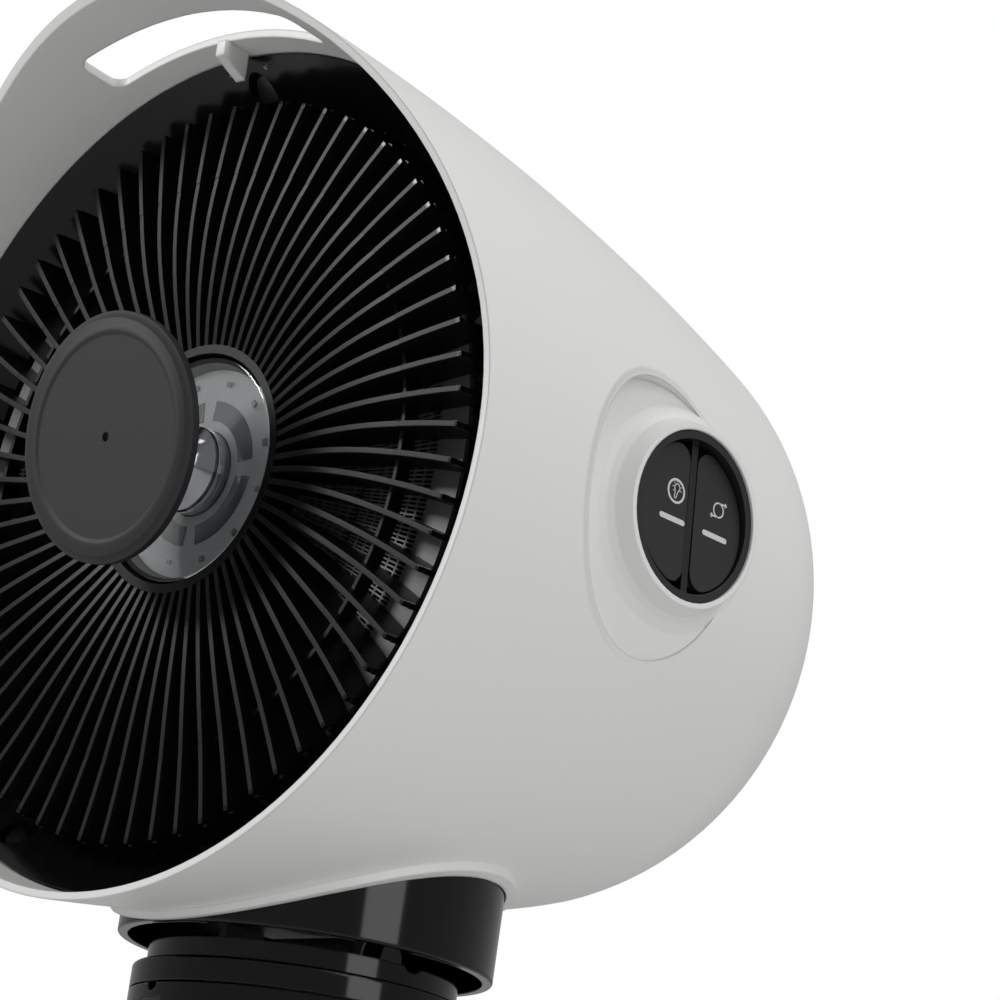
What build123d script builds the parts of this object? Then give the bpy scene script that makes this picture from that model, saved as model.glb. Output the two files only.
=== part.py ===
from build123d import *
from math import acos, atan2, cos, degrees, pi, radians, sin, sqrt, tan
import os

os.makedirs("parts", exist_ok=True)

# Air circulator fan. +Z is up, the fan blows toward -Y, and the origin lies on the floor
# under the neck. Sizes are millimetres. "Behind the ring" counts toward +Y from the plane
# of the front grille's ring, and heights of the neck count from the fan axis.

# ---------- driving dimensions ----------
FAN_HEIGHT = 330.0       # fan axis above the floor
NECK_SETBACK = 70.0      # the pan axis lies this far behind the ring plane
GAP = 0.3                # general running gap
PIN_PLAY = 0.05          # radial play of every hinge pin

# barrel, as radii at distances behind the ring plane
BARREL_WALL = 2.2
BARREL_FRONT = (-50.0, 126.3)
BARREL_WAIST = (40.0, 115.0)
BARREL_HEEL = (150.0, 88.8)
BARREL_TAIL = (191.0, 60.0)
TAIL_LIP = 3.6           # radial width of the flat lip round the back opening

# front edge of the barrel seen from the side: reach in front of the ring plane
HOOD_REACH = 50.5
HOOD_TOP = 130.0
CHEEK_REACH = 18.0
CHEEK_TOP = 61.0
SIDE_REACH = 9.4
CHIN_REACH = 16.0

HANDLE_LENGTH = 86.0
HANDLE_WIDTH = 16.0
HANDLE_REACH = 19.5      # middle of the slot, in front of the ring plane
HANDLE_CORNER = 4.0

# rib inside the hood that marks the grille's locked place
MARK_BACK = 3.8
MARK_LENGTH = 9.0
MARK_ROOT_R = 120.4
MARK_DEPTH = 9.0
MARK_THICK = 3.6

# switch pod on the right side of the barrel
POD_BEHIND = 90.0
POD_RISE = 4.0
POD_RING_R = 27.0
POD_BORE_R = 23.6
POD_FACE_X = 105.4
POD_ROOT_X = 95.2
POD_ROOT_R = 26.0
POD_LIP = 1.6            # radial width of the ring's flat face
POD_FLARE_R = 33.0       # the ring's foot sweeps out to here
SCOOP_R = 38.2           # round dish the pod stands in
SCOOP_AHEAD = 13.5       # the dish's middle lies this far in front of the pod's
SCOOP_FLOOR_X = 97.4
SCOOP_FRONT_X = 112.6    # the floor sweeps out to here at the dish's front
SCOOP_WALL = 2.0
BUTTON_R = 20.6
BUTTON_SPLIT = 3.2        # room between the two buttons
BUTTON_CORNER = 4.5
BEZEL_IN_R = BUTTON_R + 0.6
BEZEL_FACE_X = 104.8
BEZEL_WEB = 2.4          # web of the bezel between the buttons
BEZEL_WEB_BACK_X = 96.4
BUTTON_THICK = 3.0
BUTTON_FACE_X = 104.6     # face at the pivot, a little inside the pod's ring
BUTTON_SLOPE = 4.0       # the faces lean in toward the top
BUTTON_PIVOT_DROP = 17.0
BUTTON_PIVOT_X = 99.6
BUTTON_PIN_R = 0.8
BUTTON_EAR_R = 1.7
BUTTON_POST = 1.6
BUTTON_POST_Y = 10.0
BUTTON_EAR_Y = (2.8, 8.0)
BUTTON_EAR_THICK = 2.0
HOUSING_BACK_X = 93.6
HOUSING_FLOOR = 1.3
HOUSING_FLANGE_R = 25.4
SWITCH_BOARD_THICK = 1.0
SWITCH_RISE = 8.0
SWITCH_TOP_X = 98.1

# neck, heights measured from the fan axis
COLLAR_R = 52.2
COLLAR_WALL = 2.8
COLLAR_BOTTOM = -121.0
COLLAR_INSET = 10.3
WEB_TOP = -106.0
WEB_THICK = 3.0
WEB_HOLE_R = 12.0
BEAD_WIDTH = 2.8
BEAD_PROUD = 2.4
COLUMN_R = 46.6
COLUMN_WALL = 3.0
SHOULDER_TOP = -129.0
SHOULDER_BOTTOM = -136.0
NARROW_NECK_R = 43.0
NARROW_NECK_TOP = -123.4
NARROW_NECK_WALL = 2.6
TILT_PIN_R = 4.0
LUG_R = 7.0
LUG_THICK = 3.0
LUG_X = 26.0             # inner face of each bracket lug
CHEEK_THICK = 4.0
WASHER_SPACE = 1.0

BRACKET_DEPTH = 26.0
FLOOR_THICK = 3.0
SPIGOT_LENGTH = 20.0
WIRE_BORE_R = 6.0
BEARING_R = 30.0
PAN_MOTOR_R = 12.0
PAN_MOTOR_HEIGHT = 20.0
PINION_SHAFT_R = 2.0
PINION_SHAFT_LENGTH = 12.0
MOTOR_EAR_R = 3.5
MOTOR_EAR_X = 14.5
MOTOR_EAR_THICK = 2.0
MOTOR_SCREW_R = 1.2

# front grille
FIN_COUNT = 68
FIN_THICK = 1.5
FIN_BACK = 9.0           # the fins end this far behind the ring plane
FIN_TIP = 0.8            # they run this far into the ring
FIN_FOOT = 2.4           # length of the foot that reaches back to the ring
FIN_SWIRL = 4.2          # degrees between the root and the tip of a fin
FIN_CROWN = 3.3          # how far the fins swell forward at the middle ring
HUB_OUTER_R = 35.2
HUB_INNER_R = 32.7
MIDDLE_RING_R = 81.0
MIDDLE_RING_WALL = 1.3
MIDDLE_RING_SPAN = (1.2, 5.8)
HUB_PROUD = 0.9
SCREEN_IN_R = 36.2       # slotted screen behind the fins
SCREEN_MESH_R = 86.5
SCREEN_RIM_R = 97.0
SCREEN_THICK = 0.8
SCREEN_RIM_THICK = 1.6
CONE_BACK = (13.0, 104.4)     # distance behind the ring plane, radius
CONE_CREASE = (3.5, 112.7)
CONE_FRONT = (-3.0, 118.6)
CONE_WALL = 1.8
SKIRT_BACK = 17.0
NOTCH_R = 4.6
NOTCH_RING_R = 111.0
NOTCH_ANGLES = (0.0, 90.0, 152.0, 208.0, 270.0)
LOCK_COUNT = 3
LOCK_ANGLE = 40.0
LOCK_ARC = 9.0
LOCK_R = 110.4
LOCK_LIP_R = 108.7
HOOK_R = 113.0
HOOK_WALL = 2.2
CHANNEL_WIDTH = 5.0
CHANNEL_DEPTH = 3.0

# lamp in the middle of the grille
LENS_R = 32.4
LENS_THICK = 2.4
LAMP_BOARD_R = 29.5
STEM_WAIST_R = 8.0
STEM_FLARE_R = 23.0
DISC_R = 34.2
DISC_FRONT = 30.7        # middle of the disc's face in front of the ring plane
DISC_THICK = 3.4
DISC_LEAN = 10.0         # degrees, the face looks a little down
DISC_DISH_R = 28.6
DISC_EYE_R = 1.3

LAMP_BOARD_BACK = 7.0
STEM_FOOT_R = 12.0
STEM_SCREW_R = 2.0
STEM_LIP = 0.8
TRAY_WALL = 2.0
DISC_HUB = 6.0           # room behind the disc for its lean

# air path
DUCT_R = 90.0
DUCT_WALL = 2.4
DUCT_BACK = 80.0
DUCT_THROAT = 44.0
DUCT_MOUTH = 19.0
IMPELLER_R = 88.0
IMPELLER_HUB_R = 34.0
BLADE_COUNT = 9
BLADE_MIDDLE = 50.0      # middle of the blades behind the ring plane
BLADE_CHORD = 44.0
SHAFT_R = 4.0
SHAFT_FRONT = 26.0
MOUNT_FRONT = 80.2
MOUNT_BACK = 85.0
MOUNT_RING_R = 95.5
STRUT_COUNT = 5
MOTOR_R = 39.0
MOTOR_LENGTH = 38.0
SCREW_R = 1.5
GUARD_INSET = 16.6
GUARD_WALL = 2.0
GUARD_RIBS = 20
GUARD_BANDS = ((93.0, 116.0), (120.0, 143.0), (147.0, 166.0))
GUARD_BACK = 184.0
MESH_WALL = 0.7
GRILLE_RIBS = 12
GRILLE_BANDS = ((8.0, 15.0), (17.5, 24.5), (27.0, 34.0), (36.5, 43.5))
GRILLE_RIM_R = 50.0
GRILLE_RIB_ARC = 4.0
GRILLE_THICK = 3.4
GUARD_REST_R = 45.5
GUARD_RIB_ARC = 4.0
DUCT_FLANGE_R = 115.8
HOOK_FRONT = 12.2
HOOK_LIP = 1.9
MOUNT_SCREW_R = 93.0
STRUT_THICK = 5.0
BEARING_NOSE_R = 9.0
HUB_LENGTH = 46.0
HUB_WALL = 3.0
BLADE_PITCH_ROOT = 52.0
BLADE_PITCH_TIP = 30.0
BLADE_CAMBER = 3.5
BLADE_THICK = 2.2

# stand
BASE_R = 135.0
BASE_EDGE = 18.0
BASE_TOP = 36.0
BASE_WALL = 3.0
FOOT_HEIGHT = 3.0
PLATE_THICK = 3.0
GEAR_MODULE = 1.25
GEAR_TEETH = 36
PINION_TEETH = 12
GEAR_THICK = 5.0
GEAR_BACKLASH = 0.25
DECK_THICK = 4.0
BEARING_HEIGHT = 8.0
SPIGOT_R = 14.0
COLUMN_TURN = -11.0      # the head stands turned this far from the column's front
WINDOW_WIDTH = 12.0
WINDOW_DROP = 4.5        # the window starts this far below the seam
WINDOW_LENGTH = 72.0
WINDOW_THICK = 1.4
WINDOW_BORDER = 3.0
PEEP_R = 2.2
BOARD_SETBACK = 36.0
BOARD_THICK = 1.6
BOARD_DROP = 26.0        # the board ends this far below the seam
BASE_SCREW_R = 1.6
BASE_BOSS_R = 4.0
COLUMN_SCREW_R = 38.0
COVER_SCREW_R = BASE_R - 14.0
FOOT_COUNT = 5
FOOT_R = 9.0
FOOT_RING_R = BASE_R - 19.0
WEIGHT_IN_R = 58.0
WEIGHT_OUT_R = BASE_R - 29.0
WEIGHT_THICK = 9.0
INLET_Z = 11.5
INLET_SIZE = 9.0
INLET_LENGTH = 16.0
INLET_R = 2.8
INLET_PIN_R = 0.8
BASE_CORNER = 5.0

# ---------- places worked out from them ----------
RING_Y = -NECK_SETBACK
SIDE = Plane(origin=(0, RING_Y, FAN_HEIGHT), x_dir=(0, 1, 0), z_dir=(1, 0, 0))
FRONT = Plane(origin=(0, RING_Y, FAN_HEIGHT), x_dir=(1, 0, 0), z_dir=(0, -1, 0))
FAN_AXIS = Axis((0, RING_Y, FAN_HEIGHT), (0, 1, 0))
PAN_AXIS = Axis.Z
NECK_SECTION = Plane.XZ
POD_Y = RING_Y + POD_BEHIND
POD_Z = FAN_HEIGHT + POD_RISE
POD_SECTION = Plane(origin=(0, POD_Y, POD_Z), x_dir=(1, 0, 0), z_dir=(0, -1, 0))
POD_AXIS = Axis((0, POD_Y, POD_Z), (1, 0, 0))
TILT_Z = FAN_HEIGHT + COLLAR_BOTTOM
SEAM_Z = FAN_HEIGHT + SHOULDER_BOTTOM
DECK_TOP = SEAM_Z - BEARING_HEIGHT
WINDOW_TOP = SEAM_Z - WINDOW_DROP
BOARD_TOP = SEAM_Z - BOARD_DROP
PLATE_TOP = FOOT_HEIGHT + PLATE_THICK
GEAR_R = GEAR_MODULE * GEAR_TEETH / 2
PINION_R = GEAR_MODULE * PINION_TEETH / 2
PINION_Y = GEAR_R + PINION_R


def side_x(x):
    """Plane across X at x, with +Y along it and +Z up, through the fan axis."""
    return Plane(origin=(x, RING_Y, FAN_HEIGHT), x_dir=(0, 1, 0), z_dir=(1, 0, 0))


def pod_x(x):
    """Plane across the pod's axis at x."""
    return Plane(origin=(x, POD_Y, POD_Z), x_dir=(0, 1, 0), z_dir=(1, 0, 0))


def level(height):
    """Horizontal plane at a height above the floor."""
    return Plane.XY.offset(height)


def behind(distance):
    """Plane across the fan axis at a distance behind the ring plane."""
    return FRONT.offset(-distance)


def barrel_section(inset):
    """Half section of the barrel, its skin moved in by inset."""
    with BuildSketch(SIDE) as section:
        with BuildLine():
            flank = ThreePointArc(
                (BARREL_FRONT[0], BARREL_FRONT[1] - inset),
                (BARREL_WAIST[0], BARREL_WAIST[1] - inset),
                (BARREL_HEEL[0], BARREL_HEEL[1] - inset),
            )
            tail_r = BARREL_TAIL[1] - inset * TAIL_LIP / BARREL_WALL
            tail = TangentArc(flank @ 1, (BARREL_TAIL[0], tail_r), tangent=flank % 1)
            Polyline(tail @ 1, (BARREL_TAIL[0], 0), (BARREL_FRONT[0], 0), flank @ 0)
        make_face()
    return section.sketch


def save(solid, name):
    solid.label = name
    export_step(solid, f"parts/{name}.step")


# ---------- barrel ----------
with BuildPart() as neck_bead:
    with BuildSketch(level(FAN_HEIGHT + WEB_TOP + 20)):
        Circle(COLLAR_R + GAP + BEAD_WIDTH)
        Circle(COLLAR_R + GAP, mode=Mode.SUBTRACT)
    extrude(amount=-60)
    revolve(barrel_section(-BEAD_PROUD), axis=FAN_AXIS, mode=Mode.INTERSECT)
    revolve(barrel_section(BARREL_WALL / 2), axis=FAN_AXIS, mode=Mode.SUBTRACT)



def scoop(wall):
    """Round dish beside the pod, grown by wall for the skin under it."""
    reach = SCOOP_R + wall
    with BuildPart() as dish:
        with BuildSketch(Plane.XY.offset(FAN_HEIGHT)):
            with BuildLine():
                back = (SCOOP_FLOOR_X - wall, POD_Y + SCOOP_R)
                foot = (SCOOP_FLOOR_X - wall, POD_Y - POD_BORE_R)
                rise = TangentArc(
                    foot, (SCOOP_FRONT_X - wall, POD_Y - SCOOP_AHEAD - reach), tangent=(0, -1)
                )
                outside = SCOOP_FRONT_X + SCOOP_R
                Polyline(rise @ 1, (outside, (rise @ 1).Y), (outside, back[1]), back, foot)
            make_face()
        extrude(amount=2 * SCOOP_R, both=True)
        with BuildSketch(side_x(0)):
            with Locations((POD_BEHIND - SCOOP_AHEAD, 0)):
                Circle(reach)
        extrude(amount=2 * SCOOP_FRONT_X, mode=Mode.INTERSECT)
    return dish.part


with BuildPart() as pod_ring:
    with BuildSketch(POD_SECTION):
        with BuildLine():
            Polyline(
                (POD_ROOT_X, 0),
                (POD_ROOT_X, POD_FLARE_R),
                (SCOOP_FLOOR_X - SCOOP_WALL / 2, POD_FLARE_R),
                (SCOOP_FLOOR_X + POD_LIP, POD_RING_R + POD_LIP),
                (SCOOP_FLOOR_X + 2 * POD_LIP, POD_RING_R),
                (POD_FACE_X, POD_BORE_R + POD_LIP),
                (POD_FACE_X, 0),
                close=True,
            )
        make_face()
    revolve(axis=POD_AXIS)

with BuildPart() as barrel_cavity:
    revolve(barrel_section(BARREL_WALL), axis=FAN_AXIS)
    # leave a skin under the dish and a root for the pod's ring
    add(scoop(SCOOP_WALL), mode=Mode.SUBTRACT)
    with BuildSketch(pod_x(POD_ROOT_X)):
        Circle(POD_ROOT_R)
    extrude(amount=SCOOP_R, mode=Mode.SUBTRACT)

with BuildPart() as barrel_shell:
    revolve(barrel_section(0), axis=FAN_AXIS)
    add(pod_ring.part)
    add(scoop(0) - pod_ring.part, mode=Mode.SUBTRACT)
    add(barrel_cavity.part, mode=Mode.SUBTRACT)
    with BuildSketch(pod_x(POD_ROOT_X - BARREL_WALL)):
        Circle(POD_BORE_R)
    extrude(amount=SCOOP_R, mode=Mode.SUBTRACT)
    # oblique front edge: a long hood on top, shallow cheeks and a short chin
    with BuildSketch(SIDE):
        with BuildLine():
            brow = ThreePointArc((-HOOD_REACH, HOOD_TOP), (-CHEEK_REACH, CHEEK_TOP), (-SIDE_REACH, 0))
            chin = TangentArc(brow @ 1, (-CHIN_REACH, -HOOD_TOP), tangent=brow % 1)
            Polyline(chin @ 1, (-2 * HOOD_REACH, -HOOD_TOP), (-2 * HOOD_REACH, HOOD_TOP), brow @ 0)
        make_face()
    extrude(amount=HOOD_TOP, both=True, mode=Mode.SUBTRACT)
    # carry handle: a slot down through the hood
    with BuildSketch(level(FAN_HEIGHT + HOOD_TOP)):
        with Locations((0, RING_Y - HANDLE_REACH)):
            RectangleRounded(HANDLE_LENGTH, HANDLE_WIDTH, HANDLE_CORNER)
    extrude(amount=-(HOOD_TOP - MIDDLE_RING_R), mode=Mode.SUBTRACT)
    # rib at the top that marks the grille's locked place
    with BuildSketch(SIDE):
        with BuildLine():
            Polyline(
                (-MARK_BACK - MARK_LENGTH, MARK_ROOT_R),
                (-MARK_BACK - MARK_LENGTH, MARK_ROOT_R - MARK_DEPTH / 2),
                (-MARK_BACK, MARK_ROOT_R - MARK_DEPTH),
                (-MARK_BACK, MARK_ROOT_R),
                close=True,
            )
        make_face()
    extrude(amount=MARK_THICK / 2, both=True)
    # neck socket with its raised bead
    add(neck_bead.part)
    with BuildSketch(level(FAN_HEIGHT + WEB_TOP + 30)):
        Circle(COLLAR_R + GAP)
    extrude(amount=-70, mode=Mode.SUBTRACT)
save(barrel_shell.part, "barrel_shell")


# ---------- collar and tilt bracket ----------
with BuildPart() as neck_collar:
    with BuildSketch(level(TILT_Z)):
        Circle(COLLAR_R)
    extrude(amount=FAN_HEIGHT - TILT_Z - DUCT_R)
    revolve(barrel_section(COLLAR_INSET), axis=FAN_AXIS, mode=Mode.SUBTRACT)
    with BuildSketch(level(TILT_Z)):
        Circle(COLLAR_R - COLLAR_WALL)
    extrude(amount=WEB_TOP - WEB_THICK - COLLAR_BOTTOM, mode=Mode.SUBTRACT)
    with BuildSketch(level(FAN_HEIGHT + WEB_TOP)):
        Circle(COLLAR_R - COLLAR_WALL)
    extrude(amount=DUCT_R, mode=Mode.SUBTRACT)
    with BuildSketch(level(TILT_Z)):
        Circle(WEB_HOLE_R)
    extrude(amount=DUCT_R, mode=Mode.SUBTRACT)
    fillet(neck_collar.edges().group_by(Axis.Z)[0].sort_by(SortBy.RADIUS)[-1], 0.8)
save(neck_collar.part, "neck_collar")

WEB_UNDER = FAN_HEIGHT + WEB_TOP - WEB_THICK
with BuildPart() as tilt_bracket:
    with BuildSketch(level(WEB_UNDER)):
        Rectangle(2 * (LUG_X + LUG_THICK), BRACKET_DEPTH)
        Circle(WEB_HOLE_R, mode=Mode.SUBTRACT)
    extrude(amount=-LUG_THICK)
    for lug_x in (LUG_X, -LUG_X - LUG_THICK):
        with BuildSketch(Plane(origin=(lug_x, 0, TILT_Z), x_dir=(0, 1, 0), z_dir=(1, 0, 0))):
            Circle(LUG_R)
            with Locations((0, (WEB_UNDER - TILT_Z) / 2)):
                Rectangle(2 * LUG_R, WEB_UNDER - TILT_Z)
            Circle(TILT_PIN_R + PIN_PLAY, mode=Mode.SUBTRACT)
        extrude(amount=LUG_THICK)
save(tilt_bracket.part, "tilt_bracket")

WASHER_THICK = WASHER_SPACE - 0.2
with BuildPart() as tilt_washers:
    for side in (1, -1):
        washer_x = side * (LUG_X + LUG_THICK + WASHER_SPACE / 2) - WASHER_THICK / 2
        with BuildSketch(Plane(origin=(washer_x, 0, TILT_Z), x_dir=(0, 1, 0), z_dir=(1, 0, 0))):
            Circle(LUG_R)
            Circle(TILT_PIN_R + PIN_PLAY, mode=Mode.SUBTRACT)
        extrude(amount=WASHER_THICK)
save(tilt_washers.part, "tilt_washers")

# ---------- turntable ----------
YOKE_X = LUG_X + LUG_THICK + WASHER_SPACE
FLOOR_TOP = SEAM_Z + FLOOR_THICK
with BuildPart() as turntable:
    with BuildSketch(level(SEAM_Z)):
        Circle(COLUMN_R)
    extrude(amount=SHOULDER_TOP - SHOULDER_BOTTOM)
    fillet(turntable.edges().group_by(Axis.Z)[-1], 1.2)
    with BuildSketch(level(SEAM_Z)):
        Circle(NARROW_NECK_R)
    extrude(amount=NARROW_NECK_TOP - SHOULDER_BOTTOM)
    with BuildSketch(level(FLOOR_TOP)):
        Circle(NARROW_NECK_R - NARROW_NECK_WALL)
    extrude(amount=WEB_UNDER - FLOOR_TOP, mode=Mode.SUBTRACT)
    for yoke_x in (YOKE_X, -YOKE_X - CHEEK_THICK):
        with BuildSketch(Plane(origin=(yoke_x, 0, TILT_Z), x_dir=(0, 1, 0), z_dir=(1, 0, 0))):
            Circle(LUG_R)
            with Locations((0, (FLOOR_TOP - TILT_Z) / 2)):
                Rectangle(2 * LUG_R, TILT_Z - FLOOR_TOP)
        extrude(amount=CHEEK_THICK)
    with BuildSketch(Plane(origin=(-COLUMN_R, 0, TILT_Z), x_dir=(0, 1, 0), z_dir=(1, 0, 0))):
        Circle(TILT_PIN_R)
    extrude(amount=2 * COLUMN_R, mode=Mode.SUBTRACT)
    with BuildSketch(level(SEAM_Z)):
        Circle(SPIGOT_R)
    extrude(amount=-SPIGOT_LENGTH)
    with BuildSketch(level(SEAM_Z - SPIGOT_LENGTH)):
        Circle(WIRE_BORE_R)
    extrude(amount=SPIGOT_LENGTH + FLOOR_THICK, mode=Mode.SUBTRACT)
save(turntable.part, "turntable")

with BuildPart() as tilt_pins:
    for side in (1, -1):
        pin_x = side * (LUG_X - 1.0)
        with BuildSketch(Plane(origin=(pin_x, 0, TILT_Z), x_dir=(0, 1, 0), z_dir=(side, 0, 0))):
            Circle(TILT_PIN_R)
        extrude(amount=YOKE_X + CHEEK_THICK - LUG_X + 1.0)
save(tilt_pins.part, "tilt_pins")


# ---------- pan drive ----------
def involute_gear(teeth, bore_r, turn):
    """Spur gear outline with involute flanks, its first tooth turned by turn degrees."""
    pitch_r = GEAR_MODULE * teeth / 2
    base_r = pitch_r * cos(radians(20))
    tip_r = pitch_r + GEAR_MODULE
    root_r = pitch_r - 1.25 * GEAR_MODULE
    half_tooth = pi / (2 * teeth) - GEAR_BACKLASH / (2 * pitch_r)

    def roll(radius):
        angle = acos(min(1.0, base_r / radius))
        return tan(angle) - angle

    def flank(radius, hand, middle):
        angle = middle + hand * (half_tooth + roll(pitch_r) - roll(radius))
        return (radius * cos(angle), radius * sin(angle))

    low_r = max(base_r, root_r)
    steps = (low_r, (low_r + tip_r) / 2, tip_r)
    with BuildSketch() as outline:
        with BuildLine():
            points = []
            for tooth in range(teeth):
                middle = radians(turn) + 2 * pi * tooth / teeth
                gap_half = pi / teeth - (half_tooth + roll(pitch_r)) - 0.01
                start = middle - pi / teeth
                points.append((root_r * cos(start + gap_half), root_r * sin(start + gap_half)))
                points += [flank(radius, -1, middle) for radius in steps]
                points += [flank(radius, 1, middle) for radius in reversed(steps)]
                end = middle + pi / teeth
                points.append((root_r * cos(end - gap_half), root_r * sin(end - gap_half)))
            Polyline(*points, close=True)
        make_face()
        if bore_r:
            Circle(bore_r, mode=Mode.SUBTRACT)
    return outline.sketch


GEAR_Z = DECK_TOP - DECK_THICK - GAP - GEAR_THICK
with BuildPart() as pan_gear:
    with BuildSketch(level(GEAR_Z)):
        add(involute_gear(GEAR_TEETH, SPIGOT_R, 0))
    extrude(amount=GEAR_THICK)
save(pan_gear.part, "pan_gear")

# the pinion stands behind the pan axis, with a gap facing the gear's tooth
PINION_TURN = 180 / PINION_TEETH if (GEAR_TEETH / 4) % 1 == 0 else 0
with BuildPart() as pan_pinion:
    with BuildSketch(level(GEAR_Z - 1.0)):
        with Locations((0, PINION_Y)):
            add(involute_gear(PINION_TEETH, 0, 90 + PINION_TURN))
    extrude(amount=GEAR_THICK + 1.0)
    with BuildSketch(level(GEAR_Z)):
        with Locations((0, PINION_Y)):
            Circle(PINION_SHAFT_R)
    extrude(amount=-PINION_SHAFT_LENGTH)
save(pan_pinion.part, "pan_pinion")

MOTOR_DECK = GEAR_Z - 4.0
with BuildPart() as pan_motor:
    with BuildSketch(level(MOTOR_DECK)):
        with Locations((0, PINION_Y)):
            Circle(PAN_MOTOR_R)
    extrude(amount=-PAN_MOTOR_HEIGHT)
    with BuildSketch(level(MOTOR_DECK)):
        with Locations((0, PINION_Y)):
            Circle(PINION_SHAFT_R * 2)
    extrude(amount=GEAR_Z - 1.0 - GAP - MOTOR_DECK)
    with BuildSketch(level(MOTOR_DECK)):
        with Locations((MOTOR_EAR_X, PINION_Y), (-MOTOR_EAR_X, PINION_Y)):
            Circle(MOTOR_EAR_R)
    extrude(amount=-MOTOR_EAR_THICK)
    with BuildSketch(level(MOTOR_DECK)):
        with Locations((MOTOR_EAR_X, PINION_Y), (-MOTOR_EAR_X, PINION_Y)):
            Circle(MOTOR_SCREW_R + PIN_PLAY)
    extrude(amount=-MOTOR_EAR_THICK, mode=Mode.SUBTRACT)
    with BuildSketch(level(MOTOR_DECK + PAN_MOTOR_R)):
        with Locations((0, PINION_Y)):
            Circle(PINION_SHAFT_R + PIN_PLAY)
    extrude(amount=-2 * PAN_MOTOR_R, mode=Mode.SUBTRACT)
save(pan_motor.part, "pan_motor")

with BuildPart() as pan_bearing:
    with BuildSketch(level(DECK_TOP)):
        Circle(BEARING_R)
        Circle(SPIGOT_R + GAP, mode=Mode.SUBTRACT)
    extrude(amount=BEARING_HEIGHT - 0.1)
save(pan_bearing.part, "pan_bearing")


# ---------- front grille ----------
def swirl_strip(start_r, end_r, swirl, width):
    """Flat strip that leaves the middle radially and leans over by swirl degrees."""
    tip = Vector(end_r * sin(radians(swirl)), end_r * cos(radians(swirl)))
    lean = 2 * atan2(tip.X, tip.Y - start_r)
    half = Vector(cos(lean), -sin(lean)) * (width / 2)
    with BuildSketch() as strip:
        with BuildLine():
            right = TangentArc((width / 2, start_r), tip + half, tangent=(0, 1))
            left = TangentArc((-width / 2, start_r), tip - half, tangent=(0, 1))
            Line(right @ 1, left @ 1)
            Line(right @ 0, left @ 0)
        make_face()
    return strip.sketch


FIN_ROOT_R = (HUB_OUTER_R + HUB_INNER_R) / 2
FIN_TIP_R = CONE_BACK[1] + FIN_TIP
FOOT_BACK = CONE_BACK[0] + 1.5
with BuildPart() as fin:
    with BuildSketch(Plane.XY.offset(-FOOT_BACK)):
        add(swirl_strip(FIN_ROOT_R, FIN_TIP_R + FIN_THICK, FIN_SWIRL, FIN_THICK))
    extrude(amount=FOOT_BACK + 2 * FIN_CROWN)
    with BuildSketch(Plane.XZ):
        with BuildLine():
            crown = ThreePointArc((FIN_ROOT_R, 0.5), (MIDDLE_RING_R, FIN_CROWN), (FIN_TIP_R, 0.5))
            Polyline(
                crown @ 1,
                (FIN_TIP_R, -FOOT_BACK),
                (CONE_BACK[1] - FIN_FOOT, -FOOT_BACK),
                (CONE_BACK[1] - 2 * FIN_FOOT, -FIN_BACK),
                (FIN_ROOT_R, -FIN_BACK),
                crown @ 0,
            )
        make_face()
    revolve(axis=Axis.Z, mode=Mode.INTERSECT)

with BuildPart() as front_grille:
    with BuildSketch(SIDE):
        with BuildLine():
            Polyline(
                CONE_FRONT,
                CONE_CREASE,
                CONE_BACK,
                (SKIRT_BACK, CONE_BACK[1]),
                (SKIRT_BACK, CONE_BACK[1] + CONE_WALL),
                (CONE_BACK[0] + 1.2, CONE_BACK[1] + CONE_WALL),
                (CONE_CREASE[0] + 1.6, CONE_CREASE[1] + CONE_WALL / 1.2),
                (CONE_FRONT[0] + 2.6, CONE_FRONT[1]),
                close=True,
            )
        make_face()
    revolve(axis=FAN_AXIS)
    with BuildSketch(SIDE):
        with Locations(((FIN_BACK - HUB_PROUD) / 2, FIN_ROOT_R)):
            Rectangle(FIN_BACK + HUB_PROUD, HUB_OUTER_R - HUB_INNER_R)
        with Locations((sum(MIDDLE_RING_SPAN) / 2, MIDDLE_RING_R)):
            Rectangle(MIDDLE_RING_SPAN[1] - MIDDLE_RING_SPAN[0], MIDDLE_RING_WALL)
    revolve(axis=FAN_AXIS)
    for notch_angle in NOTCH_ANGLES:
        notch_x = NOTCH_RING_R * sin(radians(notch_angle))
        notch_y = NOTCH_RING_R * cos(radians(notch_angle))
        with BuildSketch(FRONT.offset(-SKIRT_BACK)):
            with Locations((notch_x, notch_y)):
                Circle(NOTCH_R)
        extrude(amount=2 * SKIRT_BACK, mode=Mode.SUBTRACT)
    # wire channel behind the fins on the left
    with BuildSketch(FRONT.offset(-FIN_BACK)):
        with Locations((-(CONE_BACK[1] + HUB_OUTER_R) / 2, 0)):
            Rectangle(CONE_BACK[1] - HUB_OUTER_R + 2.0, CHANNEL_WIDTH)
    extrude(amount=CHANNEL_DEPTH)
    with Locations(FRONT):
        with PolarLocations(0, FIN_COUNT):
            add(fin.part)
    # twist-lock lugs on the skirt
    with BuildSketch(SIDE):
        with Locations((SKIRT_BACK - 1.4, (CONE_BACK[1] + LOCK_R) / 2 + 0.5)):
            Rectangle(2.2, LOCK_R - CONE_BACK[1] - 1.0)
    lock_lug = revolve(axis=FAN_AXIS, revolution_arc=LOCK_ARC, mode=Mode.PRIVATE)
    for lock in range(LOCK_COUNT):
        lock_turn = LOCK_ANGLE + 360 / LOCK_COUNT * lock - LOCK_ARC / 2
        add(lock_lug.rotate(FAN_AXIS, lock_turn))
save(front_grille.part, "front_grille")

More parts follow.
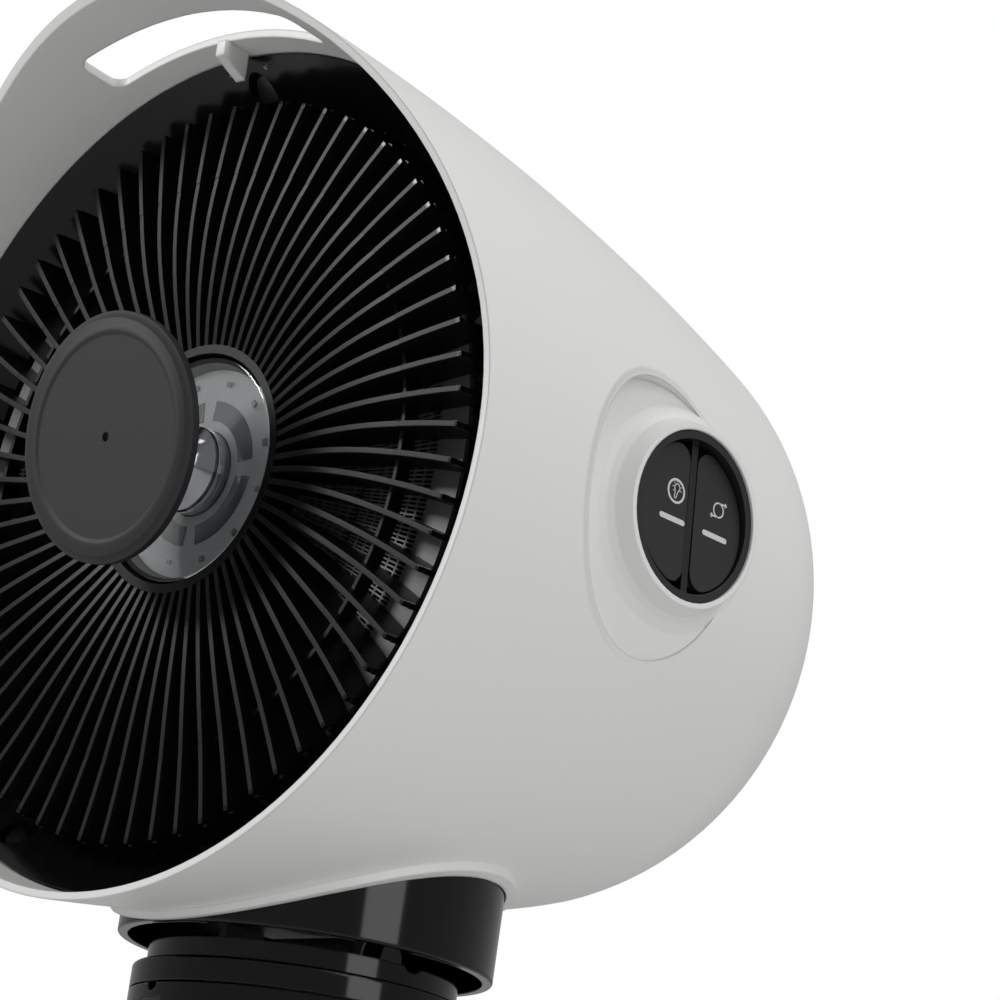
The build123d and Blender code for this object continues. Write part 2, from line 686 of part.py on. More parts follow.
with BuildPart() as front_screen:
    with BuildSketch(behind(FIN_BACK + GAP + SCREEN_THICK)):
        Circle(SCREEN_MESH_R + 1.0)
        Circle(SCREEN_IN_R, mode=Mode.SUBTRACT)
    extrude(amount=SCREEN_THICK)
    with BuildSketch(behind(FIN_BACK + GAP + SCREEN_RIM_THICK)):
        Circle(SCREEN_RIM_R)
        Circle(SCREEN_MESH_R, mode=Mode.SUBTRACT)
    extrude(amount=SCREEN_RIM_THICK)
save(front_screen.part, "front_screen")


# ---------- lamp ----------
TRAY_BACK = FIN_BACK + 2.8
with BuildPart() as lamp_tray:
    with BuildSketch(behind(TRAY_BACK)):
        Circle(HUB_OUTER_R)
    extrude(amount=TRAY_WALL)
    with BuildSketch(behind(TRAY_BACK)):
        Circle(HUB_INNER_R - GAP / 2)
        Circle(HUB_INNER_R - GAP / 2 - TRAY_WALL, mode=Mode.SUBTRACT)
    extrude(amount=TRAY_BACK - LENS_THICK)
    with BuildSketch(behind(TRAY_BACK)):
        Circle(LAMP_BOARD_R - 3.0)
        Circle(LAMP_BOARD_R - 3.0 - TRAY_WALL, mode=Mode.SUBTRACT)
        Circle(STEM_FOOT_R)
    extrude(amount=TRAY_BACK - LAMP_BOARD_BACK)
    with BuildSketch(behind(TRAY_BACK)):
        Circle(STEM_SCREW_R + PIN_PLAY)
    extrude(amount=TRAY_BACK, mode=Mode.SUBTRACT)
save(lamp_tray.part, "lamp_tray")

with BuildPart() as lamp_board:
    with BuildSketch(behind(LAMP_BOARD_BACK)):
        Circle(LAMP_BOARD_R)
        Circle(STEM_FOOT_R + GAP, mode=Mode.SUBTRACT)
    extrude(amount=1.4)
save(lamp_board.part, "lamp_board")

with BuildPart() as lamp_lens:
    with BuildSketch(behind(LENS_THICK)):
        Circle(LENS_R)
        Circle(STEM_FOOT_R + 0.2, mode=Mode.SUBTRACT)
    extrude(amount=LENS_THICK)
    fillet(lamp_lens.edges().group_by(Axis.Y)[0].sort_by(SortBy.RADIUS)[-1], 1.2)
save(lamp_lens.part, "lamp_lens")

# the stem is a trumpet that flares toward the back of the disc
STEM_BACK = LAMP_BOARD_BACK
STEM_FRONT = DISC_FRONT - DISC_THICK - DISC_HUB
with BuildPart() as lamp_stem:
    with BuildSketch(SIDE):
        with BuildLine():
            Polyline((STEM_BACK, 0), (STEM_BACK, STEM_FOOT_R), (-1.0, STEM_FOOT_R))
            trumpet = Spline(
                (-1.0, STEM_FOOT_R),
                (-STEM_FRONT * 0.45, STEM_WAIST_R),
                (-STEM_FRONT, STEM_FLARE_R),
                tangents=((-1, -0.9), (-0.35, 1)),
            )
            stem_lip = -STEM_FRONT - STEM_LIP
            Polyline(trumpet @ 1, (stem_lip, STEM_FLARE_R), (stem_lip, 0), (STEM_BACK, 0))
        make_face()
    revolve(axis=FAN_AXIS)
    with BuildSketch(behind(STEM_BACK)):
        Circle(STEM_SCREW_R + PIN_PLAY)
    extrude(amount=12.0, mode=Mode.SUBTRACT)
save(lamp_stem.part, "lamp_stem")

with BuildPart() as stem_screw:
    with BuildSketch(behind(TRAY_BACK)):
        Circle(2 * STEM_SCREW_R)
    extrude(amount=-STEM_SCREW_R)
    with BuildSketch(behind(TRAY_BACK)):
        Circle(STEM_SCREW_R)
    extrude(amount=TRAY_BACK - STEM_BACK + 10.0)
save(stem_screw.part, "stem_screw")

# the disc's face leans a little toward the floor
DISC_PLANE = Plane(
    origin=(0, RING_Y - DISC_FRONT, FAN_HEIGHT),
    x_dir=(0, cos(radians(DISC_LEAN)), sin(radians(DISC_LEAN))),
    z_dir=(1, 0, 0),
)
DISC_AXIS = Axis(DISC_PLANE.origin, DISC_PLANE.x_dir)
with BuildPart() as lamp_disc:
    with BuildSketch(DISC_PLANE):
        with BuildLine():
            Polyline(
                (1.6, 0),
                (1.6, DISC_EYE_R),
                (0.5, DISC_EYE_R),
                (0.5, DISC_DISH_R - 1.0),
                (0.0, DISC_DISH_R),
                (0.0, DISC_R - 2.0),
                (1.2, DISC_R),
                (DISC_THICK, DISC_R),
                (DISC_THICK + 1.0, DISC_R - 2.0),
                (DISC_THICK + 1.0, 0),
                close=True,
            )
        make_face()
    revolve(axis=DISC_AXIS)
    # wedge between the upright stem and the leaning disc
    with BuildSketch(behind(-STEM_FRONT - STEM_LIP)):
        Circle(STEM_FLARE_R - 1.0)
    extrude(until=Until.NEXT)
save(lamp_disc.part, "lamp_disc")


# ---------- air path ----------
with BuildPart() as fan_duct:
    with BuildSketch(SIDE):
        with BuildLine():
            mouth_r = CONE_BACK[1] + CONE_WALL + GAP
            nozzle = ThreePointArc(
                (DUCT_MOUTH, mouth_r),
                ((DUCT_MOUTH + DUCT_THROAT) / 2, (mouth_r + DUCT_R) / 2 - 2.5),
                (DUCT_THROAT, DUCT_R),
            )
            Polyline(
                nozzle @ 1,
                (DUCT_BACK, DUCT_R),
                (DUCT_BACK, MOUNT_RING_R),
                (DUCT_BACK - DUCT_WALL, MOUNT_RING_R),
                (DUCT_BACK - DUCT_WALL, DUCT_R + DUCT_WALL),
                (DUCT_THROAT + 1.0, DUCT_R + DUCT_WALL),
                (DUCT_MOUTH + DUCT_WALL + 2.0, mouth_r + 1.0),
                (DUCT_MOUTH + DUCT_WALL, mouth_r + 3.0),
                (DUCT_MOUTH + DUCT_WALL, DUCT_FLANGE_R),
                (DUCT_MOUTH, DUCT_FLANGE_R),
                nozzle @ 0,
            )
        make_face()
    revolve(axis=FAN_AXIS)
    # hooks that hold the grille's lugs
    with BuildSketch(SIDE):
        with BuildLine():
            Polyline(
                (DUCT_MOUTH + 0.5, HOOK_R - HOOK_WALL),
                (HOOK_FRONT + HOOK_LIP, HOOK_R - HOOK_WALL),
                (HOOK_FRONT + HOOK_LIP, LOCK_LIP_R),
                (HOOK_FRONT, LOCK_LIP_R),
                (HOOK_FRONT, HOOK_R),
                (DUCT_MOUTH + 0.5, HOOK_R),
                close=True,
            )
        make_face()
    hook = revolve(axis=FAN_AXIS, revolution_arc=LOCK_ARC + 1.0, mode=Mode.PRIVATE)
    for lock in range(LOCK_COUNT):
        add(hook.rotate(FAN_AXIS, LOCK_ANGLE + 360 / LOCK_COUNT * lock - (LOCK_ARC + 1.0) / 2))
    with BuildSketch(behind(DUCT_BACK)):
        with PolarLocations(MOUNT_SCREW_R, STRUT_COUNT, start_angle=90):
            Circle(SCREW_R)
    extrude(amount=2 * DUCT_WALL, mode=Mode.SUBTRACT)
    # room for the collar below and for the switch housing at the side
    with BuildSketch(level(FAN_HEIGHT - DUCT_R - DUCT_WALL)):
        Circle(COLLAR_R + 2 * GAP)
    extrude(amount=-DUCT_R, mode=Mode.SUBTRACT)
    with BuildSketch(pod_x(HOUSING_BACK_X - GAP)):
        Circle(POD_RING_R)
    extrude(amount=POD_RING_R, mode=Mode.SUBTRACT)
save(fan_duct.part, "fan_duct")

with BuildPart() as motor_mount:
    with BuildSketch(behind(MOUNT_BACK)):
        Circle(MOUNT_RING_R)
        Circle(DUCT_R - 1.0, mode=Mode.SUBTRACT)
        Circle(MOTOR_R + 2.0)
        Circle(BEARING_NOSE_R + 0.2, mode=Mode.SUBTRACT)
    extrude(amount=MOUNT_BACK - MOUNT_FRONT)
    with BuildSketch(behind(MOUNT_BACK)):
        with PolarLocations((MOTOR_R + DUCT_R) / 2, STRUT_COUNT, start_angle=90):
            Rectangle(DUCT_R - MOTOR_R + 2.0, STRUT_THICK)
    extrude(amount=MOUNT_BACK - MOUNT_FRONT)
    with BuildSketch(behind(MOUNT_BACK)):
        with PolarLocations(MOUNT_SCREW_R, STRUT_COUNT, start_angle=90):
            Circle(SCREW_R + PIN_PLAY)
    extrude(amount=MOUNT_BACK - MOUNT_FRONT, mode=Mode.SUBTRACT)
    with BuildSketch(pod_x(HOUSING_BACK_X - GAP)):
        Circle(POD_RING_R)
    extrude(amount=POD_RING_R, mode=Mode.SUBTRACT)
save(motor_mount.part, "motor_mount")

with BuildPart() as mount_screws:
    with BuildSketch(behind(MOUNT_BACK)):
        with PolarLocations(MOUNT_SCREW_R, STRUT_COUNT, start_angle=90):
            Circle(SCREW_R)
    extrude(amount=MOUNT_BACK - DUCT_BACK + 2.0)
    with BuildSketch(behind(MOUNT_BACK + SCREW_R)):
        with PolarLocations(MOUNT_SCREW_R, STRUT_COUNT, start_angle=90):
            Circle(1.8 * SCREW_R)
    extrude(amount=SCREW_R)
save(mount_screws.part, "mount_screws")

with BuildPart() as fan_motor:
    with BuildSketch(behind(MOUNT_BACK + MOTOR_LENGTH)):
        Circle(MOTOR_R)
    extrude(amount=MOTOR_LENGTH)
    fillet(fan_motor.edges().filter_by(GeomType.CIRCLE), 3.0)
    with BuildSketch(behind(MOUNT_BACK)):
        Circle(BEARING_NOSE_R)
    extrude(amount=MOUNT_BACK - MOUNT_FRONT)
    with BuildSketch(behind(MOUNT_BACK + MOTOR_LENGTH / 2)):
        Circle(SHAFT_R + PIN_PLAY)
    extrude(amount=MOTOR_LENGTH, mode=Mode.SUBTRACT)
save(fan_motor.part, "fan_motor")

with BuildPart() as motor_board:
    with BuildSketch(behind(MOUNT_BACK + MOTOR_LENGTH + 1.6)):
        Circle(MOTOR_R - 8.0)
    extrude(amount=1.6)
save(motor_board.part, "motor_board")

with BuildPart() as motor_shaft:
    with BuildSketch(behind(SHAFT_FRONT)):
        Circle(SHAFT_R)
    extrude(amount=-(MOUNT_BACK + MOTOR_LENGTH / 2 - GAP - SHAFT_FRONT))
save(motor_shaft.part, "motor_shaft")

HUB_FRONT = BLADE_MIDDLE - HUB_LENGTH / 2
with BuildPart() as blade:
    for radius, pitch in ((IMPELLER_HUB_R - 3.0, BLADE_PITCH_ROOT), (IMPELLER_R, BLADE_PITCH_TIP)):
        along = (cos(radians(pitch)), 0, sin(radians(pitch)))
        with BuildSketch(Plane(origin=(0, radius, 0), x_dir=along, z_dir=(0, 1, 0))):
            with BuildLine():
                half = BLADE_CHORD / 2 * (0.62 if radius < IMPELLER_R else 1.0)
                back = ThreePointArc((-half, 0), (0, BLADE_CAMBER + BLADE_THICK), (half, 0))
                front = ThreePointArc((-half, -0.6), (0, BLADE_CAMBER), (half, -0.6))
                Line(back @ 0, front @ 0)
                Line(back @ 1, front @ 1)
            make_face()
    loft()
    with BuildSketch(Plane.XY.offset(-BLADE_CHORD)):
        Circle(IMPELLER_R)
    extrude(amount=2 * BLADE_CHORD, mode=Mode.INTERSECT)

with BuildPart() as impeller:
    with BuildSketch(SIDE):
        with BuildLine():
            nose = ThreePointArc(
                (HUB_FRONT, IMPELLER_HUB_R - 14.0),
                (HUB_FRONT + 4.5, IMPELLER_HUB_R - 4.5),
                (HUB_FRONT + 14.0, IMPELLER_HUB_R),
            )
            Polyline(
                nose @ 1,
                (HUB_FRONT + HUB_LENGTH, IMPELLER_HUB_R),
                (HUB_FRONT + HUB_LENGTH, IMPELLER_HUB_R - HUB_WALL),
                (HUB_FRONT + 12.0, IMPELLER_HUB_R - HUB_WALL),
                (HUB_FRONT + 12.0, 2.2 * SHAFT_R),
                (HUB_FRONT + HUB_LENGTH - 4.0, 2.2 * SHAFT_R),
                (HUB_FRONT + HUB_LENGTH - 4.0, SHAFT_R),
                (HUB_FRONT + 4.0, SHAFT_R),
                (HUB_FRONT + 4.0, IMPELLER_HUB_R - 14.0),
                nose @ 0,
            )
        make_face()
    revolve(axis=FAN_AXIS)
    with Locations(FRONT.offset(-BLADE_MIDDLE)):
        with PolarLocations(0, BLADE_COUNT):
            add(blade.part)
save(impeller.part, "impeller")

with BuildPart() as impeller_nut:
    with BuildSketch(behind(HUB_FRONT + 4.0)):
        RegularPolygon(IMPELLER_HUB_R - 24.0, 6)
        Circle(SHAFT_R, mode=Mode.SUBTRACT)
    extrude(amount=5.0)
save(impeller_nut.part, "impeller_nut")

with BuildPart() as guard_windows:
    with BuildSketch(Plane.XZ):
        for band_front, band_back in GUARD_BANDS:
            with Locations((DUCT_R * 0.72, -(band_front + band_back) / 2)):
                Rectangle(DUCT_R * 0.8, band_back - band_front)
    revolve(axis=Axis.Z, revolution_arc=360 / GUARD_RIBS - GUARD_RIB_ARC)

with BuildPart() as rear_guard:
    revolve(barrel_section(GUARD_INSET), axis=FAN_AXIS)
    revolve(barrel_section(GUARD_INSET + GUARD_WALL), axis=FAN_AXIS, mode=Mode.SUBTRACT)
    with BuildSketch(behind(MOUNT_BACK + 0.2)):
        Circle(2 * DUCT_R)
    extrude(amount=2 * DUCT_R, mode=Mode.SUBTRACT)
    with BuildSketch(behind(GUARD_BACK)):
        Circle(2 * DUCT_R)
    extrude(amount=-DUCT_R, mode=Mode.SUBTRACT)
    with Locations(FRONT):
        with PolarLocations(0, GUARD_RIBS):
            add(guard_windows.part, mode=Mode.SUBTRACT)
save(rear_guard.part, "rear_guard")

with BuildPart() as guard_mesh:
    revolve(barrel_section(GUARD_INSET - GAP - MESH_WALL), axis=FAN_AXIS)
    revolve(barrel_section(GUARD_INSET - GAP), axis=FAN_AXIS, mode=Mode.SUBTRACT)
    with BuildSketch(behind(GUARD_BANDS[0][0] - 2.0)):
        Circle(2 * DUCT_R)
    extrude(amount=2 * DUCT_R, mode=Mode.SUBTRACT)
    with BuildSketch(behind(GUARD_BANDS[-1][1] + 2.0)):
        Circle(2 * DUCT_R)
    extrude(amount=-DUCT_R, mode=Mode.SUBTRACT)
save(guard_mesh.part, "guard_mesh")

GRILLE_FRONT = GUARD_BACK + GAP
with BuildPart() as grille_windows:
    with BuildSketch(Plane.XZ):
        for band_in, band_out in GRILLE_BANDS:
            with Locations(((band_in + band_out) / 2, 0)):
                Rectangle(band_out - band_in, 40.0)
    revolve(axis=Axis.Z, revolution_arc=360 / GRILLE_RIBS - GRILLE_RIB_ARC)

with BuildPart() as rear_grille:
    with BuildSketch(behind(BARREL_TAIL[0] - 0.6)):
        Circle(BARREL_TAIL[1] - TAIL_LIP - GAP)
    extrude(amount=GRILLE_THICK)
    with BuildSketch(behind(BARREL_TAIL[0] - 0.6)):
        Circle(BARREL_TAIL[1] - TAIL_LIP - GAP)
        Circle(GRILLE_RIM_R, mode=Mode.SUBTRACT)
    extrude(amount=BARREL_TAIL[0] - 0.6 - GRILLE_FRONT)
    with BuildSketch(behind(GRILLE_FRONT + GRILLE_THICK - 0.6)):
        Circle(BARREL_TAIL[1] - 1.0)
        Circle(GUARD_REST_R, mode=Mode.SUBTRACT)
    extrude(amount=GRILLE_THICK - 0.6)
    with Locations(FRONT.offset(-BARREL_TAIL[0])):
        with PolarLocations(0, GRILLE_RIBS):
            add(grille_windows.part, mode=Mode.SUBTRACT)
save(rear_grille.part, "rear_grille")

# ---------- switch pod ----------
PIVOT_Z = POD_Z - BUTTON_PIVOT_DROP
with BuildPart() as switch_housing:
    with BuildSketch(pod_x(HOUSING_BACK_X)):
        Circle(HOUSING_FLANGE_R)
    extrude(amount=HOUSING_FLOOR)
    with BuildSketch(pod_x(HOUSING_BACK_X)):
        Circle(POD_BORE_R - GAP)
        Circle(BEZEL_IN_R, mode=Mode.SUBTRACT)
    extrude(amount=BEZEL_FACE_X - HOUSING_BACK_X)
    # web that fills the room between the buttons and leans with them
    with BuildSketch(POD_SECTION):
        with BuildLine():
            web_drop = (BEZEL_IN_R + BUTTON_PIVOT_DROP) * tan(radians(BUTTON_SLOPE))
            Polyline(
                (BEZEL_WEB_BACK_X, -BEZEL_IN_R),
                (BUTTON_FACE_X, -BEZEL_IN_R),
                (BUTTON_FACE_X - web_drop, BEZEL_IN_R),
                (BEZEL_WEB_BACK_X, BEZEL_IN_R),
                close=True,
            )
        make_face()
    extrude(amount=BEZEL_WEB / 2, both=True)
    for post_y in (-BUTTON_POST_Y, 0, BUTTON_POST_Y):
        post_plane = Plane(
            origin=(HOUSING_BACK_X, POD_Y + post_y, PIVOT_Z), x_dir=(1, 0, 0), z_dir=(0, -1, 0)
        )
        post_length = BUTTON_PIVOT_X + 2 * BUTTON_PIN_R - HOUSING_BACK_X
        with BuildSketch(post_plane):
            with Locations((post_length / 2, 0)):
                Rectangle(post_length, 2 * BUTTON_EAR_R)
        extrude(amount=BUTTON_POST / 2, both=True)
        with BuildSketch(post_plane):
            with Locations((BUTTON_PIVOT_X - HOUSING_BACK_X, 0)):
                Circle(BUTTON_PIN_R + PIN_PLAY)
        extrude(amount=BUTTON_POST, both=True, mode=Mode.SUBTRACT)
save(switch_housing.part, "switch_housing")

PIN_LENGTH = 2 * BUTTON_POST_Y + BUTTON_POST
with BuildPart() as switch_pin:
    with BuildSketch(Plane(origin=(BUTTON_PIVOT_X, POD_Y, PIVOT_Z), x_dir=(1, 0, 0), z_dir=(0, -1, 0))):
        Circle(BUTTON_PIN_R)
    extrude(amount=PIN_LENGTH / 2, both=True)
save(switch_pin.part, "switch_pin")

BOARD_X = HOUSING_BACK_X + HOUSING_FLOOR
with BuildPart() as switch_board:
    with BuildSketch(pod_x(BOARD_X)):
        Circle(BEZEL_IN_R - GAP)
        with Locations((0, -POD_BORE_R - BUTTON_PIVOT_DROP + 2 * BUTTON_EAR_R)):
            Rectangle(2 * POD_BORE_R, 2 * POD_BORE_R, mode=Mode.SUBTRACT)
    extrude(amount=SWITCH_BOARD_THICK)
    with BuildSketch(pod_x(BOARD_X)):
        with Locations((-BUTTON_R / 2, SWITCH_RISE), (BUTTON_R / 2, SWITCH_RISE)):
            Rectangle(3 * BUTTON_THICK, 2 * BUTTON_THICK)
    extrude(amount=SWITCH_BOARD_THICK + 1.0)
    with BuildSketch(pod_x(BOARD_X)):
        with Locations((-BUTTON_R / 2, SWITCH_RISE), (BUTTON_R / 2, SWITCH_RISE)):
            Circle(BUTTON_EAR_R)
    extrude(amount=SWITCH_TOP_X - BOARD_X)
save(switch_board.part, "switch_board")

slope = radians(BUTTON_SLOPE)
BUTTON_FACE = Plane(
    origin=(BUTTON_FACE_X, POD_Y, PIVOT_Z), x_dir=(0, 1, 0), z_dir=(cos(slope), 0, sin(slope))
)
half_split = sqrt(BUTTON_R ** 2 - (BUTTON_SPLIT / 2) ** 2)
for side, button_name in ((-1, "light_button"), (1, "swing_button")):
    with BuildPart() as button:
        with BuildSketch(BUTTON_FACE) as cap:
            with BuildLine():
                rim = ThreePointArc(
                    (side * BUTTON_SPLIT / 2, BUTTON_PIVOT_DROP + half_split),
                    (side * BUTTON_R, BUTTON_PIVOT_DROP),
                    (side * BUTTON_SPLIT / 2, BUTTON_PIVOT_DROP - half_split),
                )
                Line(rim @ 1, rim @ 0)
            make_face()
            fillet(cap.vertices(), BUTTON_CORNER)
        extrude(amount=-BUTTON_THICK)
        for ear_y in BUTTON_EAR_Y:
            ear_plane = Plane(
                origin=(BUTTON_PIVOT_X, POD_Y + side * ear_y, PIVOT_Z),
                x_dir=(1, 0, 0),
                z_dir=(0, -1, 0),
            )
            with BuildSketch(ear_plane):
                Circle(BUTTON_EAR_R)
                with Locations(((BUTTON_FACE_X - BUTTON_THICK / 2 - BUTTON_PIVOT_X) / 2, 0)):
                    Rectangle(BUTTON_FACE_X - BUTTON_THICK / 2 - BUTTON_PIVOT_X, 2 * BUTTON_EAR_R)
                Circle(BUTTON_PIN_R + PIN_PLAY, mode=Mode.SUBTRACT)
            extrude(amount=BUTTON_EAR_THICK / 2, both=True)
    save(button.part, button_name)

# ---------- column and base ----------
turn = radians(COLUMN_TURN)
COLUMN_FACE = Plane(
    origin=(0, 0, 0), x_dir=(cos(turn), sin(turn), 0), z_dir=(sin(turn), -cos(turn), 0)
)
COLUMN_TOP = SEAM_Z - 2 * GAP
COLUMN_INNER_R = COLUMN_R - COLUMN_WALL
WINDOW_MIDDLE = WINDOW_TOP - WINDOW_LENGTH / 2
with BuildPart() as column:
    with BuildSketch(level(PLATE_TOP)):
        Circle(COLUMN_R)
        Circle(COLUMN_INNER_R, mode=Mode.SUBTRACT)
    extrude(amount=COLUMN_TOP - PLATE_TOP)
    with BuildSketch(level(DECK_TOP)):
        Circle(COLUMN_R - COLUMN_WALL / 2)
        Circle(SPIGOT_R + GAP, mode=Mode.SUBTRACT)
    extrude(amount=-DECK_THICK)
    # posts for the pan motor and bosses for the base screws
    with BuildSketch(level(DECK_TOP - DECK_THICK / 2)):
        with Locations((MOTOR_EAR_X, PINION_Y), (-MOTOR_EAR_X, PINION_Y)):
            Circle(MOTOR_EAR_R)
    extrude(amount=-(DECK_TOP - DECK_THICK / 2 - MOTOR_DECK))
    with BuildSketch(level(MOTOR_DECK)):
        with Locations((MOTOR_EAR_X, PINION_Y), (-MOTOR_EAR_X, PINION_Y)):
            Circle(MOTOR_SCREW_R)
    extrude(amount=2 * MOTOR_EAR_R, mode=Mode.SUBTRACT)
    with BuildSketch(level(PLATE_TOP)):
        with PolarLocations(COLUMN_SCREW_R, 4, start_angle=45 + COLUMN_TURN):
            Circle(BASE_BOSS_R)
            Rectangle(2 * BASE_BOSS_R, BASE_BOSS_R)
    extrude(amount=4 * BASE_BOSS_R)
    with BuildSketch(level(PLATE_TOP)):
        with PolarLocations(COLUMN_SCREW_R, 4, start_angle=45 + COLUMN_TURN):
            Circle(BASE_SCREW_R)
    extrude(amount=3 * BASE_BOSS_R, mode=Mode.SUBTRACT)
    # pocket of the light window, an opening behind it and a peep slot at the seam
    with BuildSketch(COLUMN_FACE):
        with Locations((0, WINDOW_MIDDLE)):
            RectangleRounded(WINDOW_WIDTH + GAP, WINDOW_LENGTH + GAP, WINDOW_BORDER + GAP / 2)
    pocket = extrude(amount=2 * COLUMN_R, mode=Mode.PRIVATE)
    with BuildSketch(level(0)) as core:
        Circle(COLUMN_R - WINDOW_THICK - GAP)
    pocket_core = extrude(core.sketch, amount=COLUMN_TOP, mode=Mode.PRIVATE)
    add(pocket - pocket_core, mode=Mode.SUBTRACT)
    with BuildSketch(COLUMN_FACE):
        with Locations((0, WINDOW_MIDDLE - WINDOW_BORDER)):
            Rectangle(WINDOW_WIDTH - 2 * WINDOW_BORDER, WINDOW_LENGTH - 4 * WINDOW_BORDER)
    extrude(amount=2 * COLUMN_R, mode=Mode.SUBTRACT)
    with BuildSketch(COLUMN_FACE):
        with Locations((0, COLUMN_TOP)):
            Circle(PEEP_R)
    extrude(amount=2 * COLUMN_R, mode=Mode.SUBTRACT)
save(column.part, "column")

with BuildPart() as column_window:
    with BuildSketch(COLUMN_FACE):
        with Locations((0, WINDOW_MIDDLE)):
            RectangleRounded(WINDOW_WIDTH, WINDOW_LENGTH, WINDOW_BORDER)
    extrude(amount=2 * COLUMN_R)
    with BuildSketch(level(0)):
        Circle(COLUMN_R)
        Circle(COLUMN_R - WINDOW_THICK, mode=Mode.SUBTRACT)
    extrude(amount=COLUMN_TOP, mode=Mode.INTERSECT)
save(column_window.part, "column_window")

with BuildPart() as motor_screws:
    with BuildSketch(level(MOTOR_DECK - MOTOR_EAR_THICK)):
        with Locations((MOTOR_EAR_X, PINION_Y), (-MOTOR_EAR_X, PINION_Y)):
            Circle(MOTOR_SCREW_R)
    extrude(amount=MOTOR_EAR_THICK + MOTOR_EAR_R)
    with BuildSketch(level(MOTOR_DECK - MOTOR_EAR_THICK)):
        with Locations((MOTOR_EAR_X, PINION_Y), (-MOTOR_EAR_X, PINION_Y)):
            Circle(2 * MOTOR_SCREW_R)
    extrude(amount=-MOTOR_SCREW_R)
save(motor_screws.part, "motor_screws")

BOARD_WIDTH = 2 * sqrt(COLUMN_INNER_R ** 2 - (BOARD_SETBACK + BOARD_THICK) ** 2) - 2 * GAP
with BuildPart() as main_board:
    with BuildSketch(COLUMN_FACE.offset(BOARD_SETBACK)):
        with Locations((0, (PLATE_TOP + BOARD_TOP) / 2)):
            Rectangle(BOARD_WIDTH, BOARD_TOP - PLATE_TOP)
    extrude(amount=BOARD_THICK)
save(main_board.part, "main_board")

with BuildPart() as base_plate:
    with BuildSketch(level(FOOT_HEIGHT)):
        Circle(BASE_R - BASE_WALL - GAP)
        with PolarLocations(COLUMN_SCREW_R, 4, start_angle=45 + COLUMN_TURN):
            Circle(BASE_SCREW_R + PIN_PLAY, mode=Mode.SUBTRACT)
        with PolarLocations(COVER_SCREW_R, FOOT_COUNT, start_angle=90 + 180 / FOOT_COUNT):
            Circle(BASE_SCREW_R + PIN_PLAY, mode=Mode.SUBTRACT)
    extrude(amount=PLATE_THICK)
save(base_plate.part, "base_plate")


def dome_section(inset):
    """Half section of the base cover, its skin moved in by inset."""
    with BuildSketch(NECK_SECTION) as section:
        with BuildLine():
            crown = ThreePointArc(
                (COLUMN_R, BASE_TOP - inset),
                (BASE_R * 0.7, BASE_EDGE + (BASE_TOP - BASE_EDGE) * 0.52 - inset),
                (BASE_R - BASE_CORNER, BASE_EDGE - inset),
            )
            corner = TangentArc(
                crown @ 1, (BASE_R - inset, BASE_EDGE - BASE_CORNER), tangent=crown % 1
            )
            Polyline(
                corner @ 1,
                (BASE_R - inset, FOOT_HEIGHT),
                (0, FOOT_HEIGHT),
                (0, BASE_TOP - inset),
                crown @ 0,
            )
        make_face()
    return section.sketch


with BuildPart() as base_cover:
    revolve(dome_section(0), axis=PAN_AXIS)
    revolve(dome_section(BASE_WALL), axis=PAN_AXIS, mode=Mode.SUBTRACT)
    with BuildSketch(level(PLATE_TOP)):
        with PolarLocations(COVER_SCREW_R, FOOT_COUNT, start_angle=90 + 180 / FOOT_COUNT):
            Circle(BASE_BOSS_R)
    extrude(amount=BASE_EDGE - PLATE_TOP)
    with BuildSketch(level(PLATE_TOP)):
        with PolarLocations(COVER_SCREW_R, FOOT_COUNT, start_angle=90 + 180 / FOOT_COUNT):
            Circle(BASE_SCREW_R)
    extrude(amount=2 * BASE_BOSS_R, mode=Mode.SUBTRACT)
    with BuildSketch(level(0)):
        Circle(COLUMN_R + GAP)
    extrude(amount=2 * BASE_TOP, mode=Mode.SUBTRACT)
    with BuildSketch(COLUMN_FACE):
        with Locations((0, INLET_Z)):
            Rectangle(INLET_SIZE + GAP, INLET_SIZE + GAP)
    extrude(amount=-2 * BASE_R, mode=Mode.SUBTRACT)
save(base_cover.part, "base_cover")

with BuildPart() as base_weight:
    with BuildSketch(level(PLATE_TOP)):
        Circle(WEIGHT_OUT_R)
        Circle(WEIGHT_IN_R, mode=Mode.SUBTRACT)
    extrude(amount=WEIGHT_THICK)
save(base_weight.part, "base_weight")

with BuildPart() as base_feet:
    with BuildSketch(level(0)):
        with PolarLocations(FOOT_RING_R, FOOT_COUNT, start_angle=90):
            Circle(FOOT_R)
    extrude(amount=FOOT_HEIGHT)
save(base_feet.part, "base_feet")

with BuildPart() as base_screws:
    with BuildSketch(level(FOOT_HEIGHT)):
        with PolarLocations(COLUMN_SCREW_R, 4, start_angle=45 + COLUMN_TURN):
            Circle(BASE_SCREW_R)
        with PolarLocations(COVER_SCREW_R, FOOT_COUNT, start_angle=90 + 180 / FOOT_COUNT):
            Circle(BASE_SCREW_R)
    extrude(amount=PLATE_THICK + BASE_BOSS_R)
    with BuildSketch(level(FOOT_HEIGHT)):
        with PolarLocations(COLUMN_SCREW_R, 4, start_angle=45 + COLUMN_TURN):
            Circle(2 * BASE_SCREW_R)
        with PolarLocations(COVER_SCREW_R, FOOT_COUNT, start_angle=90 + 180 / FOOT_COUNT):
            Circle(2 * BASE_SCREW_R)
    extrude(amount=-BASE_SCREW_R)
save(base_screws.part, "base_screws")

